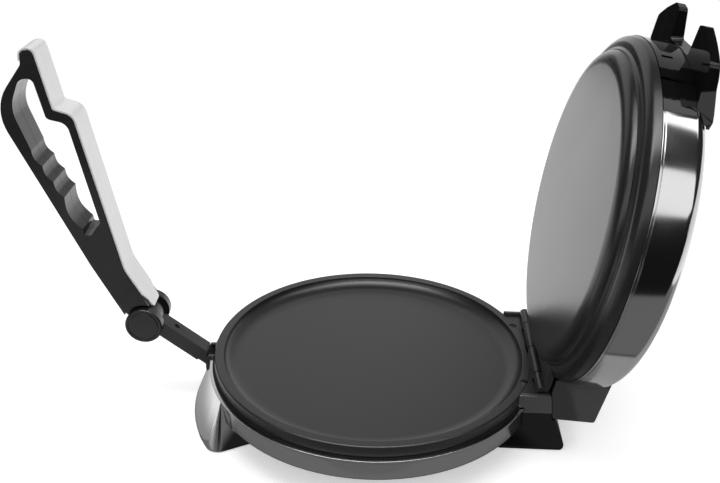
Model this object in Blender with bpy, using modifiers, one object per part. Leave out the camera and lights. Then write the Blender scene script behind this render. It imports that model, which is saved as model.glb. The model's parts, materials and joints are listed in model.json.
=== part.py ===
"""A lever-press pancake maker: two round plates on a hinge, a press arm and a folding grip.

Metres, +Z up. The origin is the centre of the lower plate's cooking surface. The press arm is at -X and the
hinge at +X. The lid stands open, the arm leans out on its stop and the grip stands up from it.
"""

import math

import bmesh
import bpy
from mathutils import Matrix, Vector

# Gaps
SEAT_GAP = 0.0003
STOP_GAP = 0.0005
CUT_OVERRUN = 0.0060
MERGE = 0.00001

# Lower plate
PLATE_RADIUS = 0.1400
RIM_BAND = 0.0082
RIM_ROUND = 0.0016
DISH_DEPTH = 0.0090
DISH_WALL_RUN = 0.0153
PLATE_WALL = 0.0030
LIP_DROP = 0.0096
LIP_WALL = 0.0024
DISH_WALL_STEPS = 4

# Base ring and what it carries
BODY_OVERHANG = 0.0027
BODY_HEIGHT = 0.0195
BODY_ROLL = 0.0018
BODY_FLANGE = 0.0070
SHELL_WALL = 0.0009
SEAM_GAP = 0.0009
FRAME_WIDTH = 0.0078
FRAME_WALL = 0.0030
COVER_WALL = 0.0020
VENT_COUNT = 12
VENT_WIDTH = 0.0035
VENT_INSET = 0.0530
VENT_LENGTH = 0.0320

# Front foot
FOOT_HEIGHT = 0.0250
PAD_PROUD = 0.0010
FOOT_FLARE = 0.0173
FOOT_TUCK = 0.0177
FOOT_TOP_WALL = 0.0010
FOOT_TOP_HALF = math.radians(30.0)
FOOT_TOP_INNER_HALF = math.radians(38.0)
FOOT_BOTTOM_HALF = math.radians(34.5)
FOOT_BOTTOM_INNER_HALF = math.radians(36.2)
FOOT_CORNER_ROUND = 0.0080
FOOT_TOP_ROUND = 0.0020

# Rear foot
REAR_FOOT_HEEL = 0.0219
REAR_FOOT_TUCK = 0.0397
REAR_FOOT_SHELF = 0.0130
REAR_FOOT_SHELF_DROP = 0.0233
REAR_FOOT_FRONT_RUN = 0.0071
REAR_FOOT_ROUND = 0.0055
REAR_FOOT_EDGE = 0.0012

# Foot pads
PAD_RADIUS = 0.0080
PAD_HEIGHT = 0.0030
PAD_EDGE = 0.0006
FRONT_PAD_ANGLE = math.radians(26.0)
REAR_PAD_INSET = 0.0160

# Hinge
HINGE_SETBACK = 0.0011
HINGE_RISE = 0.0038
HINGE_HALF = 0.0645
KNUCKLE_SPLIT = 0.0400
KNUCKLE_GAP = 0.0006
BARREL_RADIUS = 0.0038
PIN_RADIUS = 0.0016
TAIL_SETBACK = 0.0037
TAIL_SINK = 0.0002
LID_TAIL_LOW = 0.0050
LID_TAIL_WALL = 0.0045
LID_OPEN = math.radians(99.8)

# Plate screws
SCREW_INSET = 0.0190
SCREW_HEAD_RADIUS = 0.0030
SCREW_HEAD_HEIGHT = 0.0014
SCREW_SHANK_RADIUS = 0.0014
SCREW_LENGTH = 0.0150

# Rear housing
HOUSING_WALL = 0.0034
HOUSING_HEIGHT = 0.0174
HOUSING_RISE = 0.0022
HOUSING_LEDGE_RISE = 0.0006
HOUSING_POCKET = 0.0035
HOUSING_WRAP = 0.0240

# Cord inlet
INLET_RADIUS = 0.0055
INLET_BORE = 0.0033
INLET_COLLAR = 0.0075
INLET_DEPTH = 0.0110
INLET_PROUD = 0.0022
INLET_HEIGHT_SHARE = 0.58

# Heating parts, alike in the base and the lid
ELEMENT_INSET = 0.0550
ELEMENT_RADIUS = 0.0033
ELEMENT_OPENING = math.radians(50.0)
ELEMENT_LEG = 0.0092
THERMOSTAT_FLANGE = 0.0100
THERMOSTAT_RADIUS = 0.0075
THERMOSTAT_HEIGHT = 0.0070
THERMOSTAT_FLANGE_WALL = 0.0015
SHIELD_INSET = 0.0220
SHIELD_BORE = 0.0120
SHIELD_WALL = 0.0008
SHIELD_RIM = 0.0035
SHIELD_RIM_RUN = 0.0050
BOSS_RADIUS = 0.0040
BOSS_INSET = 0.0380
BOSS_LENGTH = 0.0099
BOSS_COUNT = 3

# Lid
DISC_DROP = 0.0050
DISC_INSET = 0.0245
DISC_SHOULDER_RUN = 0.0130
STEP_HEIGHT = 0.0026
STEP_WIDTH = 0.0030
FLANGE_LOW = 0.0049
FLANGE_HIGH = 0.0150
FLANGE_INSET = 0.0004
LID_SEAM = 0.0005
LID_WALL_HEIGHT = 0.0238
DOME_RISE = 0.0207
DOME_SHARES = ((0.0, 1.0), (0.42, 0.971), (0.70, 0.870), (0.855, 0.720), (0.932, 0.517), (0.9776, 0.275))
LID_FRAME_HEIGHT = 0.0085
LID_FRAME_WIDTH = 0.0065

# Press bracket with its two horns
HORN_SECTOR = math.radians(36.0)
HORN_WALL = 0.0028
HORN_OPENING = 0.0017
HORN_REACH_SHARE = 0.1822
HORN_SPREAD_SHARE = 0.5256
HORN_BASE_HEIGHT = 0.0107
HORN_TIP_HEIGHT = 0.0070
HORN_SEAT_OVERLAP = math.radians(1.5)
HORN_SEAT_WIDTH = 0.0067
SLOT_WIDTH = 0.0035
SLOT_HEIGHT = 0.0085
SLOT_OFFSET = 0.0280
# Corners of half the outline: forward share of the reach and sideways share of the spread, first on the
# lower face and then on the upper face, and last the corner's round as a share of the reach
HORN_CORNER_SHARES = (
    (0.01, 0.327, 0.085, 0.333, 0.10),
    (0.92, 0.373, 0.938, 0.373, 0.12),
    (1.00, 0.513, 1.003, 0.507, 0.23),
    (0.67, 0.773, 0.698, 0.760, 1.10),
    (0.30, 0.987, 0.302, 1.007, 0.23),
    (-0.45, 1.000, -0.221, 1.073, 0.40),
    (-0.90, 1.040, -1.150, 1.240, 0.08),
)

# Box behind the lid
REAR_OVERLAP = 0.0015
REAR_COVER_LEAD = 0.0017
REAR_COVER_LOW = 0.0114
REAR_COVER_FRONT_LOW = 0.0120
REAR_COVER_STOP_RISE = 0.0074
REAR_COVER_STOP_RUN = 0.0244
REAR_COVER_REACH = 0.0222
REAR_COVER_TOP_REACH = 0.0188
REAR_COVER_TOP = 0.0542
REAR_COVER_FRONT_TOP = 0.0576
REAR_COVER_FRONT = 0.0271
REAR_COVER_CHIN = 0.0020
REAR_COVER_ROUND = 0.0020
MOULD_EDGE = 0.0008

# Press arm
ARM_PIVOT_REACH = 0.0043
ARM_PIVOT_DROP = 0.0167
ARM_LENGTH = 0.0690
ARM_REST = math.radians(37.2)
ARM_HALF_WIDTH = 0.0076
ARM_HALF_DEPTH = 0.0065
ARM_EYE_RADIUS = 0.0125
ARM_EDGE = 0.0008
TANG_RADIUS = 0.0050
TANG_LENGTH = 0.0085
TANG_STEP = 0.0110
PIVOT_PIN_RADIUS = 0.0020
ARM_SCREW_RADIUS = 0.0022
ARM_SCREW_OFFSET = 0.0260
ARM_SCREW_DEPTH = 0.0050

# Bracket of the press arm
BRACKET_WALL = 0.0034
BRACKET_FRONT = 0.0042
BRACKET_BACK = 0.0133
BRACKET_RISE = 0.0085
BRACKET_REAR_RISE = 0.0062
BRACKET_DROP = 0.0076
BRACKET_FLOOR = 0.0021
BRACKET_ROUND = 0.0030

# Knuckle
KNUCKLE_PIN_RADIUS = 0.0040
LUG_RADIUS = 0.0135
LUG_WALL = 0.0028
EYE_POCKET_RADIUS = 0.0142
CAP_RADIUS = 0.0162
CAP_WALL = 0.0087
CAP_EDGE = 0.0012
CAP_GROOVE_RADIUS = 0.0134
CAP_GROOVE_WIDTH = 0.0009
CAP_GROOVE_DEPTH = 0.0008
CAP_POCKET = 0.0060
CAP_RECESS_GAP = 0.0023

# Grip
HANDLE_REST = math.radians(101.5)
HANDLE_LENGTH = 0.2500
HANDLE_DEPTH = 0.0590
HANDLE_HALF_WIDTH = 0.0150
FINGER_COUNT = 3
FINGER_STEPS = 5
TRIM_WALL = 0.0014
TRIM_INSET = 0.0008
# Where a cheek's two long edges start, as shares of the lug's radius along and across the grip
FACE_START_SHARES = (1.0, -0.696)
BACK_START_SHARES = (0.704, 1.052)
# Corners of a cheek along the face that looks at the lid, and then back to the knuckle: share of the
# length, share of the depth, and the corner's round as a share of the depth
FACE_SHARES = (
    (0.214, 0.053, 0.51),
    (0.7704, 0.066, 0.153),
    (0.7992, 0.305, 0.068),
    (0.9984, 0.308, 0.085),
    (0.9960, 0.468, 0.068),
)
BACK_SHARES = (
    (0.9572, 0.514, 0.060),
    (0.8272, 1.144, 1.22),
    (0.2500, 0.495, 1.00),
)
TRIM_LEAD = 0.0010
TRIM_END_SHARE = 0.72
# Corners of the grip hole from the last finger groove round by the knuckle and the face to the tip
HOLE_SHARES = (
    (0.366, 0.437, 0.025),
    (0.359, 0.322, 0.050),
    (0.396, 0.159, 0.068),
    (0.750, 0.163, 0.153),
    (0.776, 0.414, 0.076),
    (0.909, 0.420, 0.085),
    (0.915, 0.602, 0.136),
    (0.822, 0.885, 0.475),
)
FINGER_NEAR_SHARES = (0.508, 0.534)
FINGER_FAR_SHARES = (0.684, 0.763)
FINGER_LAST_SHARES = (0.386, 0.432)
FINGER_DEPTH = 0.0021
FINGER_LAST_DEPTH = 0.0042
TONGUE_HALF = 0.0104
TONGUE_START = 0.0280
TONGUE_NECK = 0.0200
TONGUE_TIP = 0.0130
TONGUE_ROUND = 0.0040
HANDLE_SCREW_HEAD = 0.0029
HANDLE_SCREW_SHANK = 0.0013
HANDLE_SCREW_SEAT = 0.0090
HANDLE_SCREW_HEIGHT = 0.0022
HANDLE_SCREW_REACH = 0.0080
HANDLE_SCREW_SHARES = ((0.185, 0.230), (0.325, 0.320), (0.960, 0.390))

# Fineness of round pieces
RING_STEPS = 60
SHIELD_STEPS = 32
CAP_STEPS = 28
SMALL_STEPS = 16
CORNER_STEPS = 3

# Heights and places that follow from the sizes above
RIM_Z = DISH_DEPTH
LIP_Z = RIM_Z - LIP_DROP
BODY_RADIUS = PLATE_RADIUS + BODY_OVERHANG
BODY_TOP_Z = LIP_Z - SEAM_GAP
BODY_BOTTOM_Z = BODY_TOP_Z - BODY_HEIGHT
FLOOR_Z = BODY_BOTTOM_Z - FOOT_HEIGHT
FOOT_BOTTOM_Z = FLOOR_Z + PAD_PROUD
ROLL_HEIGHT = BODY_ROLL * 1.4
DISH_RADIUS = PLATE_RADIUS - RIM_BAND
DISH_FLOOR_RADIUS = DISH_RADIUS - DISH_WALL_RUN
DISC_FLAT = PLATE_RADIUS - DISC_INSET
DISC_SHOULDER = DISC_FLAT + DISC_SHOULDER_RUN
FLANGE_START = DISC_SHOULDER + STEP_WIDTH
ELEMENT_RING = PLATE_RADIUS - ELEMENT_INSET
SHIELD_RADIUS = PLATE_RADIUS - SHIELD_INSET
BOSS_RING = PLATE_RADIUS - BOSS_INSET
VENT_OUTER = PLATE_RADIUS - VENT_INSET
REAR_HALF = HINGE_HALF + REAR_OVERLAP
SCREW_SPREAD = HINGE_HALF - SCREW_INSET
HINGE_X = PLATE_RADIUS + HINGE_SETBACK
HINGE_Z = RIM_Z + HINGE_RISE
TAIL_X = PLATE_RADIUS - TAIL_SETBACK
SCREW_X = math.sqrt((PLATE_RADIUS - RIM_BAND * 0.4) ** 2 - SCREW_SPREAD**2)
FRAME_OUTER = BODY_RADIUS - SHELL_WALL - SEAT_GAP
FRAME_INNER = FRAME_OUTER - FRAME_WIDTH
FLANGE_RADIUS = BODY_RADIUS - FLANGE_INSET
SHELL_LOW = FLANGE_HIGH + LID_SEAM
SHELL_HIGH = SHELL_LOW + LID_WALL_HEIGHT
HORN_INNER = BODY_RADIUS - HORN_WALL
HORN_REACH = BODY_RADIUS * HORN_REACH_SHARE
HORN_SPREAD = BODY_RADIUS * HORN_SPREAD_SHARE
PIVOT_X = -(PLATE_RADIUS + ARM_PIVOT_REACH)
PIVOT_Z = RIM_Z - ARM_PIVOT_DROP
BRACKET_GAP = ARM_HALF_WIDTH + SEAT_GAP * 2
BRACKET_HALF = BRACKET_GAP + BRACKET_WALL
LUG_NEAR = ARM_HALF_WIDTH + SEAT_GAP
LUG_FAR = LUG_NEAR + LUG_WALL
CAP_NEAR = LUG_FAR + SEAT_GAP
CAP_FAR = CAP_NEAR + CAP_WALL
BASE_KNUCKLES = ((KNUCKLE_SPLIT, HINGE_HALF), (-KNUCKLE_SPLIT, 0.0))
LID_KNUCKLES = ((0.0, KNUCKLE_SPLIT), (-HINGE_HALF, -KNUCKLE_SPLIT))


# Collections, finishes and the ways of making a piece

def new_collection(name):
    made = bpy.data.collections.new(name)
    bpy.context.scene.collection.children.link(made)
    return made


def new_finish(name, colour, roughness, metallic):
    finish = bpy.data.materials.new(name)
    finish.use_nodes = True
    shader = finish.node_tree.nodes["Principled BSDF"]
    shader.inputs["Base Color"].default_value = (*colour, 1.0)
    shader.inputs["Roughness"].default_value = roughness
    shader.inputs["Metallic"].default_value = metallic
    finish.diffuse_color = (*colour, 1.0)
    return finish


def new_axis(name, place, turn, carrier=None):
    """An empty on a joint's axis, which carries what turns with it."""
    axis = bpy.data.objects.new(name, None)
    axis.parent = carrier
    axis.location = place
    axis.rotation_euler = (0.0, turn, 0.0)
    axis.empty_display_size = BARREL_RADIUS
    parts.objects.link(axis)
    return axis


def new_piece(name, mesh, finish, carrier, place=(0.0, 0.0, 0.0), turn=(0.0, 0.0, 0.0)):
    """A part where it has a finish, and a hidden cutter where it has none."""
    piece = bpy.data.objects.new(name, mesh)
    piece.parent = carrier
    piece.location = place
    piece.rotation_euler = turn
    if finish is None:
        piece.hide_render = True
        piece.display_type = "WIRE"
        cutters.objects.link(piece)
    else:
        mesh.materials.append(finish)
        parts.objects.link(piece)
    if mesh.polygons:
        mesh.shade_smooth()
        mesh.set_sharp_from_angle(angle=math.radians(32.0))
    return piece


def turned(name, profile, finish, carrier=None, steps=RING_STEPS, closed=False, **where):
    """A profile of (radius, height) points turned about Z; its outer side runs down."""
    mesh = bpy.data.meshes.new(name)
    edges = [(i, i + 1) for i in range(len(profile) - 1)]
    if closed:
        edges.append((len(profile) - 1, 0))
    mesh.from_pydata([(radius, 0.0, height) for radius, height in profile], edges, [])
    piece = new_piece(name, mesh, finish, carrier, **where)
    screw = piece.modifiers.new("Turn", "SCREW")
    screw.steps = steps
    screw.render_steps = steps
    screw.use_merge_vertices = True
    screw.merge_threshold = MERGE
    screw.use_smooth_shade = True
    return piece


def slab(name, outlines, low, high, finish, carrier=None, upright=True, **where):
    """A flat outline, with any holes, given a thickness: from low to high along Y, or along Z if not upright."""
    curve = bpy.data.curves.new(name, "CURVE")
    curve.dimensions = "2D"
    curve.fill_mode = "BOTH"
    curve.extrude = (high - low) / 2
    for outline in outlines:
        spline = curve.splines.new("POLY")
        spline.points.add(len(outline) - 1)
        for point, (across, along) in zip(spline.points, outline):
            point.co = (across, along, 0.0, 1.0)
        spline.use_cyclic_u = True
    guide = bpy.data.objects.new(name, curve)
    bpy.context.scene.collection.objects.link(guide)
    evaluated = guide.evaluated_get(bpy.context.evaluated_depsgraph_get())
    mesh = bpy.data.meshes.new_from_object(evaluated)
    bpy.data.objects.remove(guide)
    bpy.data.curves.remove(curve)
    middle = (low + high) / 2
    if upright:
        stand = Matrix.Translation((0.0, middle, 0.0)) @ Matrix.Rotation(math.radians(90.0), 4, "X")
    else:
        stand = Matrix.Translation((0.0, 0.0, middle))
    mesh.transform(stand)
    welded = bmesh.new()
    welded.from_mesh(mesh)
    bmesh.ops.remove_doubles(welded, verts=welded.verts, dist=MERGE)
    bmesh.ops.recalc_face_normals(welded, faces=welded.faces)
    welded.to_mesh(mesh)
    welded.free()
    mesh.name = name
    return new_piece(name, mesh, finish, carrier, **where)


def rod(name, radius, low, high, finish, carrier=None, across=0.0, height=0.0, steps=SMALL_STEPS, along="Y"):
    """A cylinder along Y from low to high at (across, height), or along Z at (across, height) in X and Y."""
    mesh = bpy.data.meshes.new(name)
    shape = bmesh.new()
    bmesh.ops.create_cone(
        shape, cap_ends=True, segments=steps, radius1=radius, radius2=radius, depth=high - low
    )
    middle = (low + high) / 2
    if along == "Y":
        place = Matrix.Translation((across, middle, height)) @ Matrix.Rotation(math.radians(90.0), 4, "X")
    else:
        place = Matrix.Translation((across, height, middle))
    bmesh.ops.transform(shape, matrix=place, verts=shape.verts)
    shape.to_mesh(mesh)
    shape.free()
    return new_piece(name, mesh, finish, carrier)


def block(name, low, high, finish, carrier=None, **where):
    """A box between two corners."""
    mesh = bpy.data.meshes.new(name)
    shape = bmesh.new()
    bmesh.ops.create_cube(shape, size=1.0)
    low, high = Vector(low), Vector(high)
    place = Matrix.Translation((low + high) / 2) @ Matrix.Diagonal((*(high - low), 1.0))
    bmesh.ops.transform(shape, matrix=place, verts=shape.verts)
    shape.to_mesh(mesh)
    shape.free()
    return new_piece(name, mesh, finish, carrier, **where)


def loft(name, sections, finish, carrier=None):
    """A closed skin through unlike sections that have the same number of points."""
    count = len(sections[0])
    points = [point for section in sections for point in section]
    faces = [tuple(range(count))]
    for level in range(len(sections) - 1):
        start = level * count
        for i in range(count):
            j = (i + 1) % count
            faces.append((start + i, start + j, start + count + j, start + count + i))
    faces.append(tuple(range(len(points) - count, len(points))))
    mesh = bpy.data.meshes.new(name)
    mesh.from_pydata(points, [], faces)
    shape = bmesh.new()
    shape.from_mesh(mesh)
    bmesh.ops.recalc_face_normals(shape, faces=shape.faces)
    shape.to_mesh(mesh)
    shape.free()
    return new_piece(name, mesh, finish, carrier)


def tube(name, path, radius, finish, carrier=None):
    """A round tube along a list of points, with filled ends, as a mesh."""
    curve = bpy.data.curves.new(name, "CURVE")
    curve.dimensions = "3D"
    curve.bevel_depth = radius
    curve.bevel_resolution = 1
    curve.use_fill_caps = True
    spline = curve.splines.new("POLY")
    spline.points.add(len(path) - 1)
    for point, place in zip(spline.points, path):
        point.co = (*place, 1.0)
    guide = bpy.data.objects.new(name, curve)
    bpy.context.scene.collection.objects.link(guide)
    evaluated = guide.evaluated_get(bpy.context.evaluated_depsgraph_get())
    mesh = bpy.data.meshes.new_from_object(evaluated)
    bpy.data.objects.remove(guide)
    bpy.data.curves.remove(curve)
    welded = bmesh.new()
    welded.from_mesh(mesh)
    bmesh.ops.remove_doubles(welded, verts=welded.verts, dist=MERGE)
    bmesh.ops.recalc_face_normals(welded, faces=welded.faces)
    welded.to_mesh(mesh)
    welded.free()
    mesh.name = name
    return new_piece(name, mesh, finish, carrier)


def combine(piece, tool, operation):
    change = piece.modifiers.new(tool.name, "BOOLEAN")
    change.operation = operation
    change.object = tool
    change.solver = "EXACT"


def cut(piece, *tools):
    for tool in tools:
        combine(piece, tool, "DIFFERENCE")


def join(piece, *tools):
    for tool in tools:
        combine(piece, tool, "UNION")


def gathered(name, *tools):
    """One cutter made of several plain ones that do not touch each other."""
    whole = bmesh.new()
    for tool in tools:
        whole.from_mesh(tool.data)
    mesh = bpy.data.meshes.new(name)
    whole.to_mesh(mesh)
    whole.free()
    carrier = tools[0].parent
    for tool in tools:
        bpy.data.objects.remove(tool)
    return new_piece(name, mesh, None, carrier)


def soften(piece, width, segments=1, angle=40.0):
    edge = piece.modifiers.new("Edge", "BEVEL")
    edge.width = width
    edge.segments = segments
    edge.limit_method = "ANGLE"
    edge.angle_limit = math.radians(angle)


# Outlines

def arc(radius, start, end, steps, centre=(0.0, 0.0)):
    """Points from one angle to another, both ends included."""
    turn = [start + (end - start) * i / steps for i in range(steps + 1)]
    return [(centre[0] + radius * math.cos(a), centre[1] + radius * math.sin(a)) for a in turn]


def rounded(corners, closed=True, steps=CORNER_STEPS):
    """Turns (x, y, round) corners into points, each round limited by the straight runs beside it."""
    points = []
    count = len(corners)
    for i, (x, y, radius) in enumerate(corners):
        if radius <= 0.0 or (not closed and i in (0, count - 1)):
            points.append((x, y))
            continue
        corner = Vector((x, y))
        back = Vector(corners[i - 1][:2]) - corner
        ahead = Vector(corners[(i + 1) % count][:2]) - corner
        half = back.angle(ahead) / 2
        run = min(radius / math.tan(half), back.length * 0.49, ahead.length * 0.49)
        back.normalize()
        ahead.normalize()
        reach = run / math.cos(half)
        centre = corner + (back + ahead).normalized() * reach
        start = corner + back * run - centre
        sweep = start.angle_signed(corner + ahead * run - centre)
        for step in range(steps + 1):
            spoke = start @ Matrix.Rotation(sweep * step / steps, 2)
            points.append(tuple(centre + spoke))
    return points


def offset_path(corners, distance):
    """Moves an open run of (x, y, round) corners to its right by a distance."""
    moved = []
    count = len(corners)
    for i, (x, y, radius) in enumerate(corners):
        here = Vector((x, y))
        ways = []
        if i > 0:
            ways.append((here - Vector(corners[i - 1][:2])).normalized())
        if i < count - 1:
            ways.append((Vector(corners[i + 1][:2]) - here).normalized())
        normals = [Vector((way.y, -way.x)) for way in ways]
        middle = sum(normals, Vector((0.0, 0.0))).normalized()
        here += middle * (distance / middle.dot(normals[0]))
        turns_left = len(ways) == 2 and ways[0].cross(ways[1]) > 0.0
        moved.append((here.x, here.y, max(radius + (distance if turns_left else -distance), 0.0)))
    return moved


def shares_to_corners(shares, length, depth):
    return [(x * length, z * depth, radius * depth) for x, z, radius in shares]


# Base

def make_base_clearance():
    """The room that the plate and its steel ring take from the feet and the rear housing."""
    step = BODY_TOP_Z - ROLL_HEIGHT - SEAT_GAP / 2
    profile = [
        (0.0, RIM_Z + CUT_OVERRUN),
        (PLATE_RADIUS + SEAT_GAP, RIM_Z + CUT_OVERRUN),
        (PLATE_RADIUS + SEAT_GAP, LIP_Z),
        (BODY_RADIUS + BODY_ROLL + SEAT_GAP, LIP_Z),
        (BODY_RADIUS + BODY_ROLL + SEAT_GAP, step),
        (BODY_RADIUS + SEAT_GAP, step),
        (BODY_RADIUS + SEAT_GAP, BODY_BOTTOM_Z - SEAT_GAP),
        (0.0, BODY_BOTTOM_Z - SEAT_GAP),
    ]
    return turned("base_clearance", profile, None)


def make_arm_notch():
    """The room that the arm's bracket takes from the ring, the inner frame and the front foot."""
    half = BRACKET_HALF + SEAT_GAP
    return block(
        "arm_notch",
        (PIVOT_X - FOOT_FLARE - CUT_OVERRUN, -half, PIVOT_Z - BRACKET_DROP - SEAT_GAP),
        (PIVOT_X + BRACKET_BACK + SEAT_GAP, half, RIM_Z),
        None,
    )


def make_lower_plate():
    wall = [
        (DISH_FLOOR_RADIUS + DISH_WALL_RUN * math.sin(a), DISH_DEPTH * (1.0 - math.cos(a)))
        for a in (math.radians(90.0) * i / DISH_WALL_STEPS for i in range(DISH_WALL_STEPS + 1))
    ]
    under = [(radius + PLATE_WALL * height / DISH_DEPTH, height - PLATE_WALL) for radius, height in wall]
    profile = [(0.0, 0.0)] + wall
    profile += [
        (PLATE_RADIUS - RIM_ROUND, RIM_Z),
        (PLATE_RADIUS, RIM_Z - RIM_ROUND),
        (PLATE_RADIUS, LIP_Z),
        (PLATE_RADIUS - LIP_WALL, LIP_Z),
        (PLATE_RADIUS - LIP_WALL, RIM_Z - PLATE_WALL),
    ]
    profile += under[::-1] + [(0.0, -PLATE_WALL)]
    plate = turned("lower_cooking_plate", profile, cast_black)
    low, high = RIM_Z - PLATE_WALL + TAIL_SINK, RIM_Z - TAIL_SINK
    join(plate, make_tail("lower_tail", low, high, None))
    low, high = low + TAIL_SINK - HINGE_Z, high - TAIL_SINK - HINGE_Z
    start = TAIL_X - PLATE_WALL - HINGE_X
    barrel = arc(BARREL_RADIUS, math.radians(210.0), math.radians(-40.0), SMALL_STEPS)
    outline = [(start, high), (-BARREL_RADIUS, high)] + barrel + [(BARREL_RADIUS * 0.3, low), (start, low)]
    slots = [
        block(
            "slot",
            (TAIL_X + SEAT_GAP, start - KNUCKLE_GAP / 2, LIP_Z - CUT_OVERRUN),
            (HINGE_X + CUT_OVERRUN, end + KNUCKLE_GAP / 2, RIM_Z + CUT_OVERRUN),
            None,
        )
        for start, end in LID_KNUCKLES
    ]
    cut(plate, gathered("lower_slots", *slots))
    add_knuckles(plate, "lower", BASE_KNUCKLES, outline, HINGE_Z, None)
    profile = [
        (0.0, RIM_Z + CUT_OVERRUN),
        (SCREW_HEAD_RADIUS + SEAT_GAP, RIM_Z + CUT_OVERRUN),
        (SCREW_HEAD_RADIUS + SEAT_GAP, RIM_Z - SCREW_HEAD_HEIGHT),
        (SCREW_SHANK_RADIUS + SEAT_GAP, RIM_Z - SCREW_HEAD_HEIGHT),
        (SCREW_SHANK_RADIUS + SEAT_GAP, LIP_Z - CUT_OVERRUN),
        (0.0, LIP_Z - CUT_OVERRUN),
    ]
    for name, side in (("near", -1.0), ("far", 1.0)):
        hole = turned(
            f"plate_screw_hole_{name}", profile, None, steps=SMALL_STEPS, place=(SCREW_X, side * SCREW_SPREAD, 0.0)
        )
        cut(plate, hole)
    add_bosses(plate, "lower", -PLATE_WALL - BOSS_LENGTH, -PLATE_WALL / 2, None)
    return plate


def make_tail(name, low, high, carrier):
    """The flat web that reaches from a plate's rim to its knuckles."""
    inner = DISH_RADIUS + RIM_BAND * 0.25
    half = math.asin(HINGE_HALF / inner)
    outline = arc(inner, half, -half, SMALL_STEPS)
    outline += [(TAIL_X, -HINGE_HALF), (TAIL_X, HINGE_HALF)]
    return slab(name, [outline], low, high, None, carrier, upright=False)


def add_knuckles(plate, name, spans, outline, axis_height, carrier):
    """Joins barrels with their leaves to a plate, bored for the hinge pin."""
    centre = (HINGE_X, axis_height)
    placed = [(HINGE_X + across, axis_height + up) for across, up in outline]
    bore = arc(PIN_RADIUS + SEAT_GAP, 0.0, 2 * math.pi, SMALL_STEPS // 2, centre)[:-1]
    knuckles = [
        slab("knuckle", [placed, bore], start + KNUCKLE_GAP / 2, end - KNUCKLE_GAP / 2, None, carrier)
        for start, end in spans
    ]
    join(plate, gathered(f"{name}_knuckles", *knuckles))


def add_bosses(plate, name, low, high, carrier):
    """Short posts on a plate's hidden side, which the heat shield rests on."""
    bosses = []
    for i in range(BOSS_COUNT):
        turn = 2 * math.pi * (i + 0.5) / BOSS_COUNT
        boss = rod(
            "boss", BOSS_RADIUS, low, high, None, carrier,
            across=BOSS_RING * math.cos(turn), height=BOSS_RING * math.sin(turn), steps=8, along="Z",
        )
        bosses.append(boss)
    join(plate, gathered(f"{name}_bosses", *bosses))


def make_element(name, height, leg_height, carrier):
    """A C-shaped tube heater whose ends turn away from the plate."""
    start = math.pi + ELEMENT_OPENING / 2
    ring = arc(ELEMENT_RING, start, start + 2 * math.pi - ELEMENT_OPENING, SHIELD_STEPS - 4)
    path = [(x, y, height) for x, y in ring]
    path = [(*ring[0], leg_height)] + path + [(*ring[-1], leg_height)]
    return tube(name, path, ELEMENT_RADIUS, dark_steel, carrier)


def make_thermostat(name, seat, away, carrier):
    """A flanged can against a plate; away is 1 above the plate and -1 below it."""
    sizes = [
        (0.0, THERMOSTAT_HEIGHT),
        (THERMOSTAT_RADIUS, THERMOSTAT_HEIGHT),
        (THERMOSTAT_RADIUS, THERMOSTAT_FLANGE_WALL),
        (THERMOSTAT_FLANGE, THERMOSTAT_FLANGE_WALL),
        (THERMOSTAT_FLANGE, 0.0),
        (0.0, 0.0),
    ]
    profile = [(radius, seat + away * height) for radius, height in sizes]
    if away < 0.0:
        profile.reverse()
    return turned(name, profile, bright_steel, carrier, steps=SMALL_STEPS)


def make_shield(name, seat, away, carrier):
    """A thin dish on the plate's bosses, its rim bent back towards the plate."""
    near = [
        (SHIELD_BORE, 0.0),
        (SHIELD_RADIUS - SHIELD_RIM_RUN, 0.0),
        (SHIELD_RADIUS, -SHIELD_RIM),
    ]
    far = [
        (SHIELD_RADIUS + SHIELD_WALL, -SHIELD_RIM + SHIELD_WALL),
        (SHIELD_RADIUS - SHIELD_RIM_RUN + SHIELD_WALL, SHIELD_WALL),
        (SHIELD_BORE, SHIELD_WALL),
    ]
    profile = [(radius, seat + away * height) for radius, height in near + far]
    if away > 0.0:
        profile.reverse()
    return turned(name, profile, bright_steel, carrier, steps=SHIELD_STEPS, closed=True)


def make_base_ring():
    inner = BODY_RADIUS - SHELL_WALL
    profile = [
        (inner, BODY_TOP_Z),
        (BODY_RADIUS + BODY_ROLL * 0.7, BODY_TOP_Z),
        (BODY_RADIUS + BODY_ROLL, BODY_TOP_Z - ROLL_HEIGHT * 0.3),
        (BODY_RADIUS + BODY_ROLL * 0.8, BODY_TOP_Z - ROLL_HEIGHT * 0.7),
        (BODY_RADIUS, BODY_TOP_Z - ROLL_HEIGHT),
        (BODY_RADIUS, BODY_BOTTOM_Z + SHELL_WALL),
        (BODY_RADIUS - SHELL_WALL, BODY_BOTTOM_Z),
        (BODY_RADIUS - BODY_FLANGE, BODY_BOTTOM_Z),
        (BODY_RADIUS - BODY_FLANGE, BODY_BOTTOM_Z + SHELL_WALL),
        (inner, BODY_BOTTOM_Z + SHELL_WALL),
    ]
    ring = turned("base_housing", profile, polished_steel, closed=True)
    cut(ring, arm_notch)
    return ring


def make_inner_frame():
    top = LIP_Z - SEAT_GAP
    bottom = BODY_BOTTOM_Z + SHELL_WALL + COVER_WALL + SEAT_GAP * 2
    profile = [
        (FRAME_INNER, top),
        (FRAME_OUTER, top),
        (FRAME_OUTER, bottom),
        (FRAME_OUTER - FRAME_WALL, bottom),
        (FRAME_OUTER - FRAME_WALL, top - FRAME_WALL),
        (FRAME_INNER, top - FRAME_WALL),
    ]
    frame = turned("base_inner_frame", profile, moulded_black, closed=True)
    cut(frame, arm_notch)
    for name, side in (("near", -1.0), ("far", 1.0)):
        hole = rod(
            f"frame_screw_hole_{name}", SCREW_SHANK_RADIUS + SEAT_GAP, BODY_BOTTOM_Z, RIM_Z,
            None, across=SCREW_X, height=side * SCREW_SPREAD, steps=8, along="Z",
        )
        cut(frame, hole)
    return frame


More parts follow.
